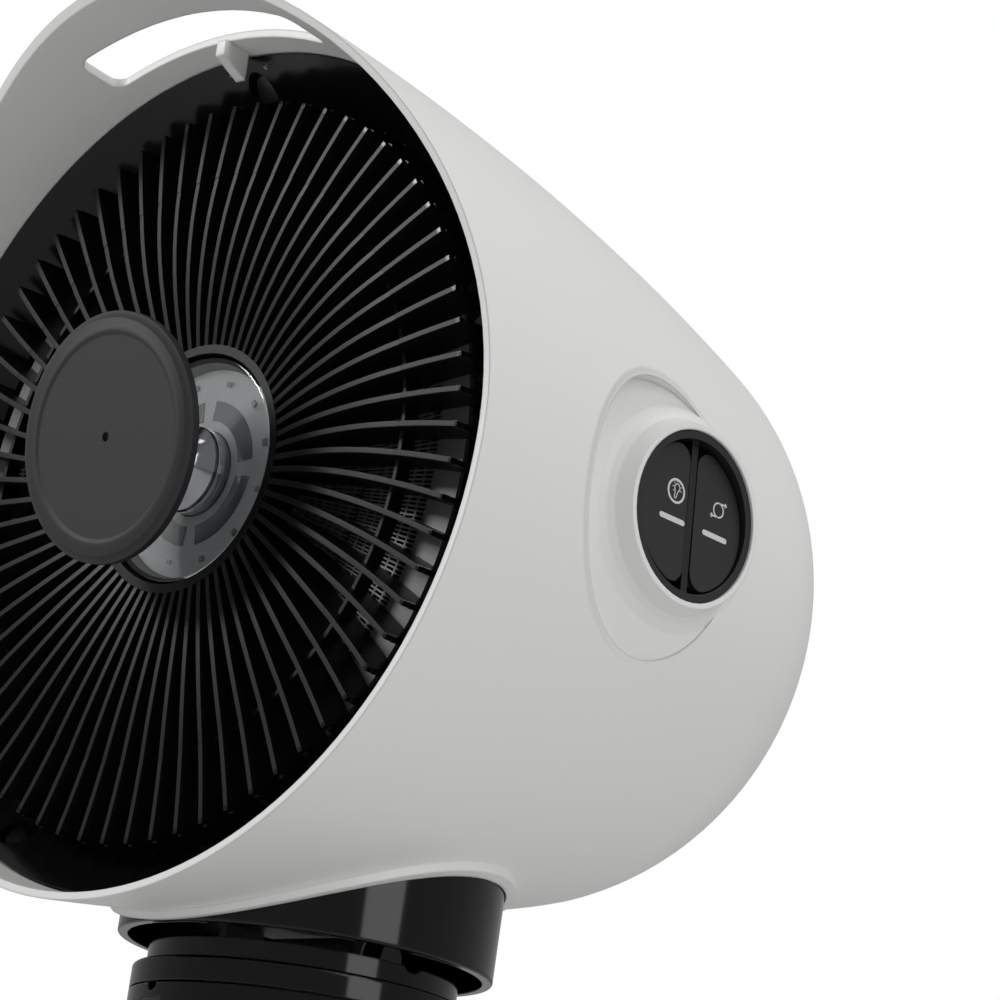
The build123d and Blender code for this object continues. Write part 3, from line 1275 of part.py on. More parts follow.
with BuildPart() as dc_inlet:
    with BuildSketch(COLUMN_FACE.offset(-(BASE_R - 1.0))):
        with Locations((0, INLET_Z)):
            Rectangle(INLET_SIZE, INLET_SIZE)
            Circle(INLET_R, mode=Mode.SUBTRACT)
    extrude(amount=INLET_LENGTH)
    with BuildSketch(COLUMN_FACE.offset(-(BASE_R - 1.0) + INLET_LENGTH)):
        with Locations((0, INLET_Z)):
            Rectangle(INLET_SIZE, INLET_SIZE)
    extrude(amount=-3.0)
    with BuildSketch(COLUMN_FACE.offset(-(BASE_R - 1.0) + INLET_LENGTH)):
        with Locations((0, INLET_Z)):
            Circle(INLET_PIN_R)
    extrude(amount=-(INLET_LENGTH - 2.0))
save(dc_inlet.part, "dc_inlet")
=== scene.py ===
import math

import bmesh
import bpy
from mathutils import Matrix, Vector


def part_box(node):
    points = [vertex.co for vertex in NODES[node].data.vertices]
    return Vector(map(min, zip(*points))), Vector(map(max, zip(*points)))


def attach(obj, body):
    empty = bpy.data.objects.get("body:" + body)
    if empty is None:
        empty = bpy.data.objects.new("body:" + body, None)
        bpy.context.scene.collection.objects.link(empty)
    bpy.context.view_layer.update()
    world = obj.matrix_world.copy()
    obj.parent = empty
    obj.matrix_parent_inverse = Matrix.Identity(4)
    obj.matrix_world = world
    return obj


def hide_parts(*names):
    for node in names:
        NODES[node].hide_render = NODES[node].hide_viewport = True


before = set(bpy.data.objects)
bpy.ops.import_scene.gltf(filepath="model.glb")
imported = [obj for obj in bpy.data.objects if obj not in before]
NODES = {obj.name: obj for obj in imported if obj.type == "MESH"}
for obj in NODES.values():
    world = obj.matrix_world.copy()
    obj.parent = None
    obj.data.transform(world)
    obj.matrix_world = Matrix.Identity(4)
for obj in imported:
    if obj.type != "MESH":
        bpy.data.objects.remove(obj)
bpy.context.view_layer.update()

# ---------- places, in metres, read from the solids where they can be ----------
MM = 0.001
BACKWARD = Vector((0, 1, 0))
SHAFT_LO, SHAFT_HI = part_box("motor_shaft")
FAN_X = (SHAFT_LO.x + SHAFT_HI.x) / 2
FAN_Z = (SHAFT_LO.z + SHAFT_HI.z) / 2
RING_DEPTH = 17 * MM       # the front grille reaches this far behind its ring plane
RING_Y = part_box("front_grille")[1].y - RING_DEPTH
RING_CENTRE = Vector((FAN_X, RING_Y, FAN_Z))
PIN_LO, PIN_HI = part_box("switch_pin")
POD_Y = (PIN_LO.y + PIN_HI.y) / 2
PIVOT_DROP = 17 * MM       # the buttons' hinge lies this far below the pod's middle
PIVOT_Z = (PIN_LO.z + PIN_HI.z) / 2
POD_Z = PIVOT_Z + PIVOT_DROP
BUTTON_FACE_X = 104.6 * MM
BUTTON_SLOPE = math.radians(4.0)
COLUMN_R = 46.6 * MM
WINDOW_TURN = math.radians(-11.0)


# ---------- helpers ----------
GRAIN_DEPTH = 0.0002
PRINT_THICK = 0.00012


def rgb(code):
    """Linear colour of an sRGB hex code."""
    parts = [int(code[i : i + 2], 16) / 255 for i in (1, 3, 5)]
    return [c / 12.92 if c <= 0.04045 else ((c + 0.055) / 1.055) ** 2.4 for c in parts] + [1.0]


def add_node(tree, kind, inputs=None, **settings):
    """Adds a node, sets its properties, and sets or links its inputs by name or number."""
    made = tree.nodes.new(kind)
    for key, value in settings.items():
        setattr(made, key, value)
    for key, value in (inputs or {}).items():
        if isinstance(value, bpy.types.NodeSocket):
            tree.links.new(value, made.inputs[key])
        else:
            made.inputs[key].default_value = value
    return made


def material(name, color, roughness, metallic=0.0, grain=0.0, grain_scale=900.0, soft=0.0, **inputs):
    """A principled material. grain is the depth of its fine texture, soft the width of its softened edges."""
    made = bpy.data.materials.new(name)
    made.use_nodes = True
    tree = made.node_tree
    surface = tree.nodes["Principled BSDF"]
    surface.inputs["Base Color"].default_value = rgb(color)
    surface.inputs["Roughness"].default_value = roughness
    surface.inputs["Metallic"].default_value = metallic
    for key, value in inputs.items():
        surface.inputs[key.replace("_", " ")].default_value = value
    place = add_node(tree, "ShaderNodeTexCoord").outputs["Object"]
    normal = None
    if soft:
        normal = add_node(tree, "ShaderNodeBevel", {"Radius": soft}, samples=4).outputs[0]
    if grain:
        noise = add_node(tree, "ShaderNodeTexNoise", {"Vector": place, "Scale": grain_scale, "Detail": 3.0})
        depth = {"Height": noise.outputs["Fac"], "Strength": grain, "Distance": GRAIN_DEPTH}
        bump = add_node(tree, "ShaderNodeBump", depth)
        if normal:
            tree.links.new(normal, bump.inputs["Normal"])
        normal = bump.outputs[0]
    if normal:
        tree.links.new(normal, surface.inputs["Normal"])
    return made


def surface_of(made):
    return made.node_tree.nodes["Principled BSDF"]


def distance_from(tree, centre, across):
    """Distance of a point from a centre, counted only along the axes named in across."""
    place = add_node(tree, "ShaderNodeTexCoord").outputs["Object"]
    away = add_node(tree, "ShaderNodeVectorMath", {0: place, 1: centre}, operation="SUBTRACT")
    kept = [1.0 if axis in across else 0.0 for axis in "XYZ"]
    flat = add_node(tree, "ShaderNodeVectorMath", {0: away.outputs[0], 1: kept}, operation="MULTIPLY")
    length = add_node(tree, "ShaderNodeVectorMath", {0: flat.outputs[0]}, operation="LENGTH")
    return length.outputs["Value"]


def finish_mesh(name, mesh, look, body, smooth=False):
    """Turns a bmesh into a closed piece that rides on a body, with the given material."""
    bmesh.ops.recalc_face_normals(mesh, faces=mesh.faces)
    data = bpy.data.meshes.new(name)
    mesh.to_mesh(data)
    mesh.free()
    data.materials.append(look)
    for face in data.polygons:
        face.use_smooth = smooth
    made = bpy.data.objects.new(name, data)
    bpy.context.scene.collection.objects.link(made)
    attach(made, body)
    return made


def skin_rings(mesh, rings, closed=False):
    """Joins rings of vertices into a closed tube, with end caps unless it runs round on itself."""
    pairs = list(zip(rings, rings[1:]))
    if closed:
        pairs.append((rings[-1], rings[0]))
    for first, second in pairs:
        for i in range(len(first)):
            j = (i + 1) % len(first)
            mesh.faces.new((first[i], first[j], second[j], second[i]))
    if not closed:
        mesh.faces.new(rings[0])
        mesh.faces.new(list(reversed(rings[-1])))


def sweep(mesh, points, section, closed=False):
    """Sweeps a list of (side, up) section points along points given with their own side and up axes."""
    rings = []
    for place, side, up in points:
        rings.append([mesh.verts.new(place + side * a + up * b) for a, b in section])
    skin_rings(mesh, rings, closed)


def box_section(width, height, base=0.0):
    return [(-width / 2, base), (width / 2, base), (width / 2, base + height), (-width / 2, base + height)]


def stroke(mesh, plane, path, width, thick=PRINT_THICK, closed=False):
    """A flat raised line along path, a list of (u, v) on a plane (origin, u axis, v axis, normal)."""
    origin, u_axis, v_axis, normal = plane
    count = len(path)
    points = []
    for i, (u, v) in enumerate(path):
        before = path[i - 1] if closed or i else path[0]
        after = path[(i + 1) % count] if closed or i < count - 1 else path[-1]
        run = Vector((after[0] - before[0], after[1] - before[1]))
        run.normalize()
        side = u_axis * -run.y + v_axis * run.x
        points.append((origin + u_axis * u + v_axis * v, side, normal))
    sweep(mesh, points, box_section(width, thick), closed)


def arc(centre, radius, start, end, steps=24):
    """(u, v) points of an arc, its angles in degrees."""
    turns = [math.radians(start + (end - start) * i / steps) for i in range(steps + 1)]
    return [(centre[0] + radius * math.cos(t), centre[1] + radius * math.sin(t)) for t in turns]


def add_box(mesh, place, axes, size):
    """A box centred at place along three axes."""
    corner = Matrix((axes[0], axes[1], axes[2])).transposed().to_4x4()
    corner.translation = place
    bmesh.ops.create_cube(mesh, size=1.0, matrix=corner @ Matrix.Diagonal((*size, 1.0)))


# ---------- materials ----------
WHITE_SHELL = material("white_abs_shell", "#DEDEDC", 0.42, grain=0.06, soft=0.0009)
PIANO_BLACK = material("piano_black_abs", "#050506", 0.09, soft=0.0006, Specular_IOR_Level=0.3)
GRILLE_BLACK = material("black_polypropylene_grille", "#0B0B0D", 0.45, soft=0.0003, Specular_IOR_Level=0.22)
DUCT_BLACK = material("black_polypropylene", "#17171A", 0.45)
BLADE_GREY = material("dark_grey_nylon", "#2A2B2E", 0.40)
MESH_BLACK = material("black_painted_steel_mesh", "#101012", 0.45, metallic=0.2)
ZINC = material("zinc_plated_steel", "#6E7072", 0.5, metallic=1.0, grain=0.05)
NYLON = material("natural_nylon", "#E4E2DA", 0.5)
CAN = material("painted_steel_can", "#45474B", 0.4, metallic=0.6)
BRIGHT_STEEL = material("bright_steel", "#B4B6B8", 0.25, metallic=1.0)
BOARD_GREEN = material("green_fibreglass_board", "#1F5A38", 0.45)
BOARD_WHITE = material("white_fibreglass_board", "#B8BABC", 0.5)
CHROME = material("chrome_plated_stem", "#8E9094", 0.10, metallic=1.0)
CHARCOAL = material(
    "charcoal_soft_touch_plastic", "#1D1C20", 0.62, grain=0.12, grain_scale=1500.0, soft=0.0004
)
BUTTON_BLACK = material("black_button_abs", "#1B1A1D", 0.42, grain=0.05, soft=0.0004)
BEZEL_COLOR = "#19181B"
BEZEL_BLACK = material("black_bezel_abs", BEZEL_COLOR, 0.42, soft=0.0004)
SCREEN_GREY = material("grey_painted_steel_screen", "#5C5C5F", 0.42, metallic=0.3)
IRON = material("cast_iron", "#50504E", 0.7, grain=0.3)
RUBBER = material("black_rubber", "#1A1A1A", 0.85)
CLEAR = material("clear_polycarbonate", "#F2F4F4", 0.04, Transmission_Weight=1.0, IOR=1.45)
SMOKED = material("smoked_acrylic", "#1A1C20", 0.08, Transmission_Weight=0.35)
ICON_GREY = material("grey_button_print", "#C6C6C6", 0.5)
MARK_GREY = material("raised_shell_mark", "#B4B2AE", 0.5)
LED_LENS = material("grey_led_lens", "#7C7E80", 0.3)
SMOKED_GREY = material("smoked_grey_acrylic", "#4A4B50", 0.25)
FRAME_LIGHT = material("light_window_border", "#B8BABC", 0.4)


def soft_step(made, distance, inner, outer, depth):
    """Shades a soft step in the surface of a material, from depth deep at inner to level at outer."""
    tree = made.node_tree
    rise = add_node(
        tree,
        "ShaderNodeMapRange",
        {"Value": distance, "From Min": inner, "From Max": outer, "To Min": 0.0, "To Max": depth},
        interpolation_type="SMOOTHSTEP",
    )
    height = {"Height": rise.outputs["Result"], "Strength": 1.0, "Distance": 1.0}
    bump = add_node(tree, "ShaderNodeBump", height)
    normal = surface_of(made).inputs["Normal"]
    if normal.is_linked:
        tree.links.new(normal.links[0].from_socket, bump.inputs["Normal"])
    tree.links.new(bump.outputs[0], normal)


# the shell rolls over a little before the dish round the switch pod, on that side only
DISH_CENTRE = (0.0, POD_Y - 13.5 * MM, FAN_Z)
DISH_ROLL = (38.3 * MM, 40.9 * MM, 0.9 * MM)     # inner and outer radius, and depth
tree = WHITE_SHELL.node_tree
from_dish = distance_from(tree, DISH_CENTRE, "YZ")
place = add_node(tree, "ShaderNodeTexCoord").outputs["Object"]
sideways = add_node(tree, "ShaderNodeSeparateXYZ", {0: place}).outputs["X"]
other_side = add_node(tree, "ShaderNodeMath", {0: sideways, 1: 0.0}, operation="LESS_THAN")
# a metre more there lies beyond the roll
pod_side = add_node(tree, "ShaderNodeMath", {0: from_dish, 1: other_side.outputs[0]}, operation="ADD")
soft_step(WHITE_SHELL, pod_side.outputs[0], *DISH_ROLL)

# the disc has a broad flat bevel
DISC_CENTRE = (FAN_X, RING_Y - 30.7 * MM, FAN_Z)
DISC_BEVEL = (33.9 * MM, 28.8 * MM, 1.5 * MM)    # outer and inner radius, and depth
soft_step(CHARCOAL, distance_from(CHARCOAL.node_tree, DISC_CENTRE, "XYZ"), *DISC_BEVEL)

# painted shade: inside the bezel's bore, where the web between the buttons lies in shadow, the bezel is
# coloured near black instead of its own colour
BEZEL_BORE = (21.0 * MM, 21.2 * MM)
tree = BEZEL_BLACK.node_tree
from_pod = distance_from(tree, (0.0, POD_Y, POD_Z), "YZ")
edge = add_node(
    tree, "ShaderNodeMapRange", {"Value": from_pod, "From Min": BEZEL_BORE[0], "From Max": BEZEL_BORE[1]}
)
# one input takes the painted shade, the other the bezel's own colour
PAINTED_SHADE_SOCKET, BEZEL_COLOUR_SOCKET = 6, 7                                 # the mix node's two colour inputs
mix_inputs = {"Factor": edge.outputs["Result"], PAINTED_SHADE_SOCKET: rgb("#020202"), BEZEL_COLOUR_SOCKET: rgb(BEZEL_COLOR)}
shade = add_node(tree, "ShaderNodeMix", mix_inputs, data_type="RGBA")
tree.links.new(shade.outputs[2], surface_of(BEZEL_BLACK).inputs["Base Color"])

# the outer cone of the grille is glossier than its fins
CONE_EDGE = (103.2 * MM, 104.2 * MM)
FIN_ROUGHNESS = 0.42
CONE_ROUGHNESS = 0.16
tree = GRILLE_BLACK.node_tree
from_axis = distance_from(tree, (FAN_X, 0.0, FAN_Z), "XZ")
gloss_inputs = {
    "Value": from_axis,
    "From Min": CONE_EDGE[0],
    "From Max": CONE_EDGE[1],
    "To Min": FIN_ROUGHNESS,
    "To Max": CONE_ROUGHNESS,
}
gloss = add_node(tree, "ShaderNodeMapRange", gloss_inputs)
tree.links.new(gloss.outputs["Result"], surface_of(GRILLE_BLACK).inputs["Roughness"])

LOOKS = {
    "barrel_shell": WHITE_SHELL,
    "base_cover": WHITE_SHELL,
    "neck_collar": PIANO_BLACK,
    "turntable": PIANO_BLACK,
    "column": PIANO_BLACK,
    "front_grille": GRILLE_BLACK,
    "front_screen": SCREEN_GREY,
    "rear_grille": DUCT_BLACK,
    "rear_guard": DUCT_BLACK,
    "lamp_tray": DUCT_BLACK,
    "fan_duct": DUCT_BLACK,
    "motor_mount": DUCT_BLACK,
    "impeller": BLADE_GREY,
    "base_plate": DUCT_BLACK,
    "switch_housing": BEZEL_BLACK,
    "guard_mesh": MESH_BLACK,
    "tilt_bracket": ZINC,
    "tilt_pins": ZINC,
    "tilt_washers": NYLON,
    "pan_bearing": NYLON,
    "pan_gear": NYLON,
    "pan_pinion": NYLON,
    "pan_motor": CAN,
    "fan_motor": CAN,
    "motor_shaft": BRIGHT_STEEL,
    "impeller_nut": BRIGHT_STEEL,
    "mount_screws": BRIGHT_STEEL,
    "motor_screws": BRIGHT_STEEL,
    "base_screws": BRIGHT_STEEL,
    "stem_screw": BRIGHT_STEEL,
    "switch_pin": BRIGHT_STEEL,
    "motor_board": BOARD_GREEN,
    "main_board": BOARD_GREEN,
    "switch_board": BOARD_GREEN,
    "lamp_board": BOARD_WHITE,
    "lamp_lens": CLEAR,
    "column_window": SMOKED,
    "lamp_stem": CHROME,
    "lamp_disc": CHARCOAL,
    "light_button": BUTTON_BLACK,
    "swing_button": BUTTON_BLACK,
    "base_weight": IRON,
    "base_feet": RUBBER,
    "dc_inlet": DUCT_BLACK,
}
for name, look in LOOKS.items():
    NODES[name].data.materials.clear()
    NODES[name].data.materials.append(look)


def polar(angle, radius, y):
    """Point at an angle round the fan axis, with its own outward and sideways directions."""
    outward = Vector((math.cos(angle), 0, math.sin(angle)))
    side = Vector((-math.sin(angle), 0, math.cos(angle)))
    return Vector((FAN_X, y, FAN_Z)) + outward * radius, outward, side


# ---------- slotted guard mesh behind the blades ----------
RIB_COUNT = 150
WEB_ROWS = 9
SLOT_WEB = 0.9 * MM
MESH_THICK = 0.6 * MM
RIB_STEPS = 10
skin = {}
for vertex in NODES["guard_mesh"].data.vertices:
    radius = math.hypot(vertex.co.x - FAN_X, vertex.co.z - FAN_Z)
    skin.setdefault(round(vertex.co.y / MM, 1), []).append(radius)
profile = [(place * MM, max(radii)) for place, radii in sorted(skin.items())]


def skin_radius(y):
    """Outer radius of the guard mesh at y."""
    for (y0, r0), (y1, r1) in zip(profile, profile[1:]):
        if y0 <= y <= y1:
            return r0 + (r1 - r0) * (y - y0) / (y1 - y0)
    return profile[-1][1]


FRONT_Y, BACK_Y = profile[0][0], profile[-1][0]
mesh = bmesh.new()
for rib in range(RIB_COUNT):
    points = []
    for step in range(RIB_STEPS + 1):
        y = FRONT_Y + (BACK_Y - FRONT_Y) * step / RIB_STEPS
        place, outward, side = polar(2 * math.pi * rib / RIB_COUNT, skin_radius(y) - MESH_THICK, y)
        points.append((place, side, outward))
    sweep(mesh, points, box_section(SLOT_WEB, MESH_THICK))
for row in range(WEB_ROWS + 1):
    y = FRONT_Y + (BACK_Y - FRONT_Y - 2 * SLOT_WEB) * row / WEB_ROWS + SLOT_WEB
    points = []
    for step in range(RIB_COUNT):
        place, outward, _ = polar(2 * math.pi * step / RIB_COUNT, skin_radius(y) - MESH_THICK, y)
        points.append((place, BACKWARD, outward))
    sweep(mesh, points, box_section(2 * SLOT_WEB, MESH_THICK), closed=True)
guard = finish_mesh("guard_mesh_slots", mesh, MESH_BLACK, "head")
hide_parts("guard_mesh")

# ---------- slotted screen behind the front grille ----------
SCREEN_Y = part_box("front_screen")[0].y + 0.05 * MM
SCREEN_THICK = 0.5 * MM
SCREEN_ZONES = ((37.2, 61.5, 290), (61.5, 87.0, 430))   # inner and outer radius, and ribs
SCREEN_RIB = 0.52 * MM
SCREEN_HALF_WEB = 0.28 * MM
SCREEN_PROUD = 0.02 * MM
SCREEN_HUB = (36.4 * MM, 37.6 * MM)
SCREEN_RIM = (86.6 * MM, 96.8 * MM)
SCREEN_RIM_THICK = 1.4 * MM
RING_PITCH = 3.4


def ring(mesh, inner, outer, y, thick, start=0.0, end=360.0, steps=180):
    """A flat ring or arc between two radii, its front at y, its angles in degrees."""
    whole = end - start >= 360.0
    points = []
    for step in range(steps if whole else steps + 1):
        turn = math.radians(start + (end - start) * step / steps)
        place, outward, _ = polar(turn, (inner + outer) / 2, y)
        points.append((place, outward, BACKWARD))
    sweep(mesh, points, box_section(outer - inner, thick), closed=whole)


mesh = bmesh.new()
for low_r, high_r, count in SCREEN_ZONES:
    length = (high_r - low_r) * MM
    for rib in range(count):
        turn = 2 * math.pi * rib / count
        place, outward, side = polar(turn, (low_r + high_r) / 2 * MM, SCREEN_Y + SCREEN_THICK / 2)
        add_box(mesh, place, (outward, BACKWARD, side), (length, SCREEN_THICK, SCREEN_RIB))
    rings = int((high_r - low_r) / RING_PITCH)
    for step in range(rings + 1):
        middle = (low_r + (high_r - low_r) * step / rings) * MM
        web = (middle - SCREEN_HALF_WEB, middle + SCREEN_HALF_WEB)
        ring(mesh, *web, SCREEN_Y - SCREEN_PROUD, SCREEN_THICK + 2 * SCREEN_PROUD)
ring(mesh, *SCREEN_HUB, SCREEN_Y, SCREEN_THICK)
ring(mesh, *SCREEN_RIM, SCREEN_Y, SCREEN_RIM_THICK)
screen = finish_mesh("front_screen_slots", mesh, SCREEN_GREY, "grille")
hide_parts("front_screen")

# ---------- straight front edge of each fin ----------
FIN_COUNT = 68
FIN_START_R = 33.95      # the fins follow an arc that leaves here radially
FIN_ARC_R = 340.2
FIN_HALF = 0.74
EDGE_LENGTHS = (50.0, 57.0, 64.0, 71.2)    # places along a fin's arc
EDGE_FRONT = -3.2        # the front edge at the first place, from the ring plane, back being positive
EDGE_FALL = 0.7          # how far it falls back to the last place
EDGE_BACK = 1.5


def fin_place(length, turn):
    """Middle of a fin at a length along its arc, and the direction across it."""
    lean = length / FIN_ARC_R
    x = FIN_ARC_R * (1 - math.cos(lean))
    z = FIN_START_R + FIN_ARC_R * math.sin(lean)
    spin = Matrix.Rotation(-turn, 3, "Y")
    place = spin @ Vector((x, 0, z))
    across = spin @ Vector((math.cos(lean), 0, -math.sin(lean)))
    return place, across


mesh = bmesh.new()
edge_run = EDGE_LENGTHS[-1] - EDGE_LENGTHS[0]
for fin in range(FIN_COUNT):
    turn = 2 * math.pi * fin / FIN_COUNT
    rings = []
    for length in EDGE_LENGTHS:
        place, across = fin_place(length, turn)
        front = EDGE_FRONT + EDGE_FALL * (length - EDGE_LENGTHS[0]) / edge_run
        middle = RING_CENTRE + place * MM
        half = across * FIN_HALF * MM
        rings.append(
            [
                mesh.verts.new(middle + half * hand + Vector((0, depth * MM, 0)))
                for hand, depth in ((-1, front), (1, front), (1, EDGE_BACK), (-1, EDGE_BACK))
            ]
        )
    skin_rings(mesh, rings)
finish_mesh("grille_teeth", mesh, GRILLE_BLACK, "grille")

# ---------- button icons ----------
U_AXIS = Vector((0, 1, 0))
V_AXIS = Vector((-math.sin(BUTTON_SLOPE), 0, math.cos(BUTTON_SLOPE)))
NORMAL = Vector((math.cos(BUTTON_SLOPE), 0, math.sin(BUTTON_SLOPE)))
PRINT_SINK = 0.08 * MM     # the print starts this far inside the buttons
PANEL_MIDDLE = Vector((BUTTON_FACE_X, POD_Y, PIVOT_Z)) + V_AXIS * PIVOT_DROP
PANEL = (PANEL_MIDDLE - NORMAL * PRINT_SINK, U_AXIS, V_AXIS, NORMAL)
ICON_LINE = 0.65 * MM
SWING_LINE = 0.45 * MM
ARROW_LINE = 0.4 * MM
FINE_LINE = 0.3 * MM
BAR_WIDTH = 1.55


def in_mm(path):
    return [(u * MM, v * MM) for u, v in path]


def pill(mesh, plane, first, last, width, thick=PRINT_THICK):
    """A flat bar with round ends from one (u, v) to another, in millimetres."""
    origin, u_axis, v_axis, normal = plane
    lean = math.degrees(math.atan2(last[1] - first[1], last[0] - first[0]))
    outline = arc(last, width / 2, lean - 90, lean + 90, 8) + arc(first, width / 2, lean + 90, lean + 270, 8)
    low = [mesh.verts.new(origin + u_axis * u * MM + v_axis * v * MM) for u, v in outline]
    high = [mesh.verts.new(vertex.co + normal * thick) for vertex in low]
    mesh.faces.new(low)
    mesh.faces.new(list(reversed(high)))
    for i in range(len(outline)):
        j = (i + 1) % len(outline)
        mesh.faces.new((low[i], high[i], high[j], low[j]))


# light: a leaning bulb with short rays inside a ring, over a bar; places are millimetres on the panel
LIGHT_RING = (-6.4, 5.5)
LIGHT_RING_R = 3.2
BULB = (-6.1, 6.5)
BULB_R = 1.05
BULB_FOOT = (-6.65, 3.95)
BULB_FOOT_R = 0.42
RAY_SPAN = (1.5, 1.9)
LIGHT_BAR = ((-11.6, -2.45), (-2.9, -2.65))
mesh = bmesh.new()
stroke(mesh, PANEL, in_mm(arc(LIGHT_RING, LIGHT_RING_R, 0, 360, 40)[:-1]), ICON_LINE, closed=True)
bulb_path = arc(BULB, BULB_R, -50, 215, 18) + [(-6.9, 4.7)]
bulb_path += arc(BULB_FOOT, BULB_FOOT_R, 170, 345, 6) + [(-5.85, 5.2)]
stroke(mesh, PANEL, in_mm(bulb_path), FINE_LINE, closed=True)
for angle in range(-25, 216, 40):
    ray = [arc(BULB, reach, angle, angle, 1)[0] for reach in RAY_SPAN]
    stroke(mesh, PANEL, in_mm(ray), FINE_LINE)
pill(mesh, PANEL, *LIGHT_BAR, BAR_WIDTH)
finish_mesh("light_icon", mesh, ICON_GREY, "light_button")

# swing: a ring with a tail along its top and one along its foot, over a bar
SWING_RING = (11.1, 5.05)
SWING_RING_R = 2.0
TAIL_LENGTH = 3.2
ARROW = (0.75, 0.55)
SWING_BAR = ((6.0, -2.6), (14.5, -2.85))
mesh = bmesh.new()
stroke(mesh, PANEL, in_mm(arc(SWING_RING, SWING_RING_R, 0, 360, 32)[:-1]), SWING_LINE, closed=True)
for hand in (1, -1):
    root = (SWING_RING[0], SWING_RING[1] + hand * SWING_RING_R)
    tip = (SWING_RING[0] + hand * TAIL_LENGTH, root[1])
    stroke(mesh, PANEL, in_mm([root, tip]), SWING_LINE)
    for lift in (ARROW[1], -ARROW[1]):
        stroke(mesh, PANEL, in_mm([tip, (tip[0] - hand * ARROW[0], tip[1] + lift)]), ARROW_LINE)
pill(mesh, PANEL, *SWING_BAR, BAR_WIDTH)
finish_mesh("swing_icon", mesh, ICON_GREY, "swing_button")

# ---------- chevrons either side of the hood's rib, on the front of the grille's ring ----------
MARK_AHEAD = 0.9 * MM
MARK_ASIDE = 6.2 * MM
MARK_R = 115.9 * MM
MARK_LINE = 0.55 * MM
MARK_UP = Vector((0, 0.5, 0.87))
MARK_OUT = Vector((0, -0.87, 0.5))
CHEVRON = [(1.3, 1.3), (-0.9, 0.0), (1.3, -1.3)]
mesh = bmesh.new()
for hand in (1, -1):
    centre = RING_CENTRE + Vector((hand * MARK_ASIDE, -MARK_AHEAD, MARK_R))
    stroke(mesh, (centre, Vector((hand, 0, 0)), MARK_UP, MARK_OUT), in_mm(CHEVRON), MARK_LINE)
finish_mesh("lock_marks", mesh, MARK_GREY, "grille")

# ---------- diodes and dark windows on the lamp board ----------
BOARD_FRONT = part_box("lamp_board")[0].y
LED_COUNT = 12
LED_RING_R = 25.6 * MM
LED_SIZE = (1.7 * MM, 0.6 * MM, 1.4 * MM)
LED_AHEAD = 0.25 * MM
PANE_RADII = (15.0 * MM, 20.6 * MM)
PANE_AHEAD = 0.2 * MM
PANE_THICK = 0.4 * MM
PANE_MARGIN = 7          # degrees between a pane's end and its quarter's
PANE_STEPS = 30
mesh = bmesh.new()
windows = bmesh.new()
for led in range(LED_COUNT):
    turn = 2 * math.pi * (led + 0.5) / LED_COUNT
    place, outward, side = polar(turn, LED_RING_R, BOARD_FRONT - LED_AHEAD)
    add_box(mesh, place, (side, BACKWARD, outward), LED_SIZE)
for start in range(0, 360, 90):
    span = (start + PANE_MARGIN, start + 90 - PANE_MARGIN)
    ring(windows, *PANE_RADII, BOARD_FRONT - PANE_AHEAD, PANE_THICK, *span, PANE_STEPS)
finish_mesh("lamp_leds", mesh, LED_LENS, "grille")
finish_mesh("lamp_windows", windows, SMOKED_GREY, "grille")

# ---------- border of the column's window ----------
WINDOW_LO, WINDOW_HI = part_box("column_window")
BORDER_INSET = 1.3 * MM
BORDER_CORNER = 2 * MM
BORDER_LINE = 0.8 * MM
BORDER_THICK = 0.05 * MM
BORDER_SINK = 0.06 * MM
HALF_WIDE = 4.9 * MM
HALF_TALL = (WINDOW_HI.z - WINDOW_LO.z) / 2 - BORDER_INSET
MIDDLE_Z = (WINDOW_HI.z + WINDOW_LO.z) / 2
UPWARD = Vector((0, 0, 1))
path = []
for corner_u, corner_v, start in ((1, 1, 0), (-1, 1, 90), (-1, -1, 180), (1, -1, 270)):
    centre = (corner_u * (HALF_WIDE - BORDER_CORNER), corner_v * (HALF_TALL - BORDER_CORNER))
    path += arc(centre, BORDER_CORNER, start, start + 90, 8)
points = []
for i, (u, v) in enumerate(path):
    turn = WINDOW_TURN + u / COLUMN_R
    outward = Vector((math.sin(turn), -math.cos(turn), 0))
    along = Vector((math.cos(turn), math.sin(turn), 0))
    after = path[(i + 1) % len(path)]
    before = path[i - 1]
    run = Vector((after[0] - before[0], after[1] - before[1]))
    run.normalize()
    side = along * -run.y + UPWARD * run.x
    points.append((outward * (COLUMN_R - BORDER_SINK) + UPWARD * (MIDDLE_Z + v), side, outward))
mesh = bmesh.new()
sweep(mesh, points, box_section(BORDER_LINE, BORDER_THICK), closed=True)
finish_mesh("window_border", mesh, FRAME_LIGHT, "base")

# ---------- studio ----------
FLOOR_SIZE = 30
AMBIENT = 0.36
WHITE = rgb("#FFFFFF")
bpy.ops.mesh.primitive_plane_add(size=FLOOR_SIZE)
floor = bpy.context.object
floor.name = "floor"
floor.data.materials.append(material("pale_floor", "#D6D6D6", 0.9))

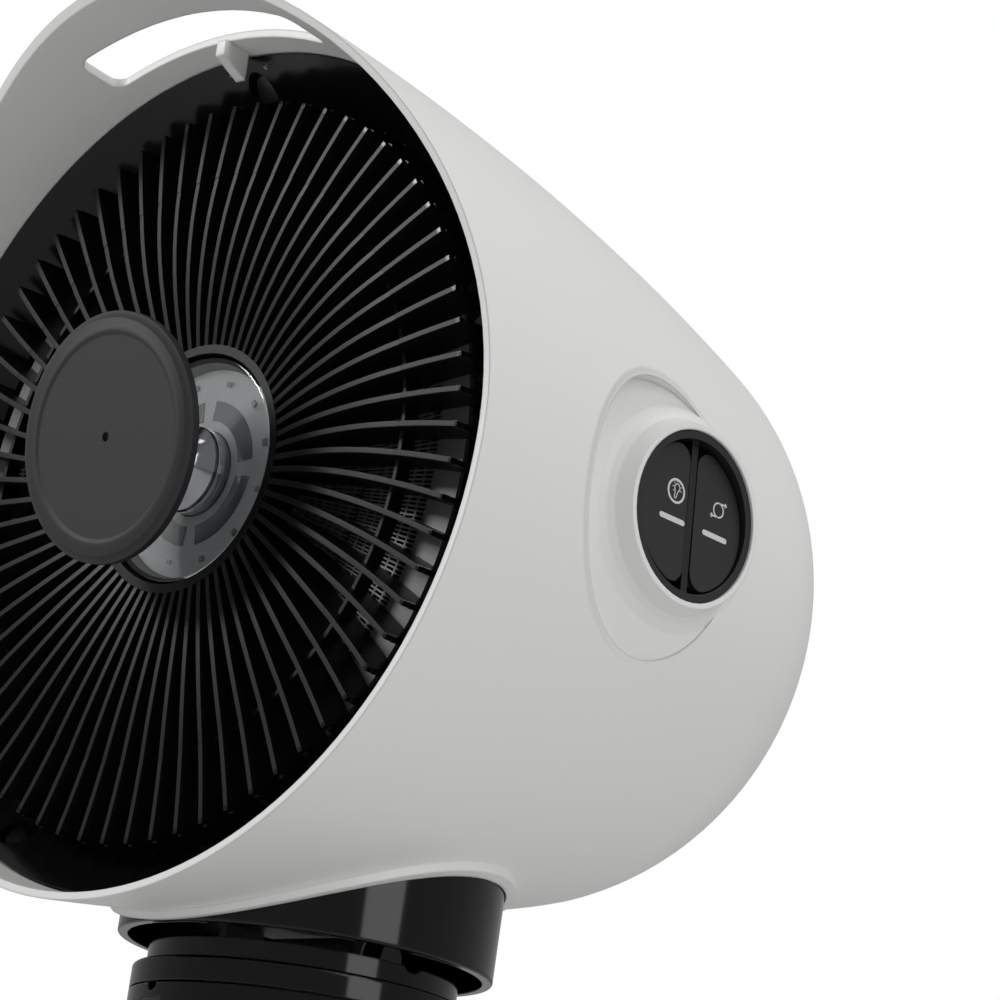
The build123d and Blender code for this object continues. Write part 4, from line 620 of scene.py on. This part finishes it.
# the backdrop is white to the camera and through clear pieces, and a plain soft light to the rest
world = bpy.data.worlds.new("studio")
bpy.context.scene.world = world
world.use_nodes = True
tree = world.node_tree
tree.nodes.clear()
rays = add_node(tree, "ShaderNodeLightPath").outputs
seen_inputs = {0: rays["Is Camera Ray"], 1: rays["Is Transmission Ray"]}
seen = add_node(tree, "ShaderNodeMath", seen_inputs, operation="MAXIMUM")
ambient = add_node(tree, "ShaderNodeBackground", {"Color": WHITE, "Strength": AMBIENT})
backdrop = add_node(tree, "ShaderNodeBackground", {"Color": WHITE, "Strength": 1.0})
mixed_inputs = {0: seen.outputs[0], 1: ambient.outputs[0], 2: backdrop.outputs[0]}
mixed = add_node(tree, "ShaderNodeMixShader", mixed_inputs)
add_node(tree, "ShaderNodeOutputWorld", {"Surface": mixed.outputs[0]})


def lamp(name, place, aim, size, power):
    data = bpy.data.lights.new(name, "AREA")
    data.shape = "RECTANGLE"
    data.size, data.size_y = size
    data.energy = power
    made = bpy.data.objects.new(name, data)
    made.location = place
    made.rotation_euler = (Vector(aim) - Vector(place)).to_track_quat("-Z", "Y").to_euler()
    bpy.context.scene.collection.objects.link(made)


HEAD = (0, 0, 0.33)
lamp("key_softbox", (-1.0, -1.35, 1.15), HEAD, (0.4, 0.4), 17)
lamp("top_softbox", (0.5, 0.4, 2.2), HEAD, (1.4, 1.4), 16)
lamp("side_softbox", (2.2, 0.0, 1.1), HEAD, (1.0, 1.8), 17)

# ---------- camera at the photograph's place ----------
CAMERA_FROM_RING = Vector((893.82, -753.54, -300.44)) * MM
CAMERA_TURN = (104.7765, -7.9717, 43.5936)
CAMERA_LENS = 159.4
data = bpy.data.cameras.new("photo_camera")
data.sensor_width = 36.0
data.lens = CAMERA_LENS
data.clip_start = 0.01
camera = bpy.data.objects.new("photo_camera", data)
camera.location = RING_CENTRE + CAMERA_FROM_RING
camera.rotation_euler = [math.radians(a) for a in CAMERA_TURN]
bpy.context.scene.collection.objects.link(camera)
bpy.context.scene.camera = camera
bpy.context.scene.view_settings.view_transform = "Standard"
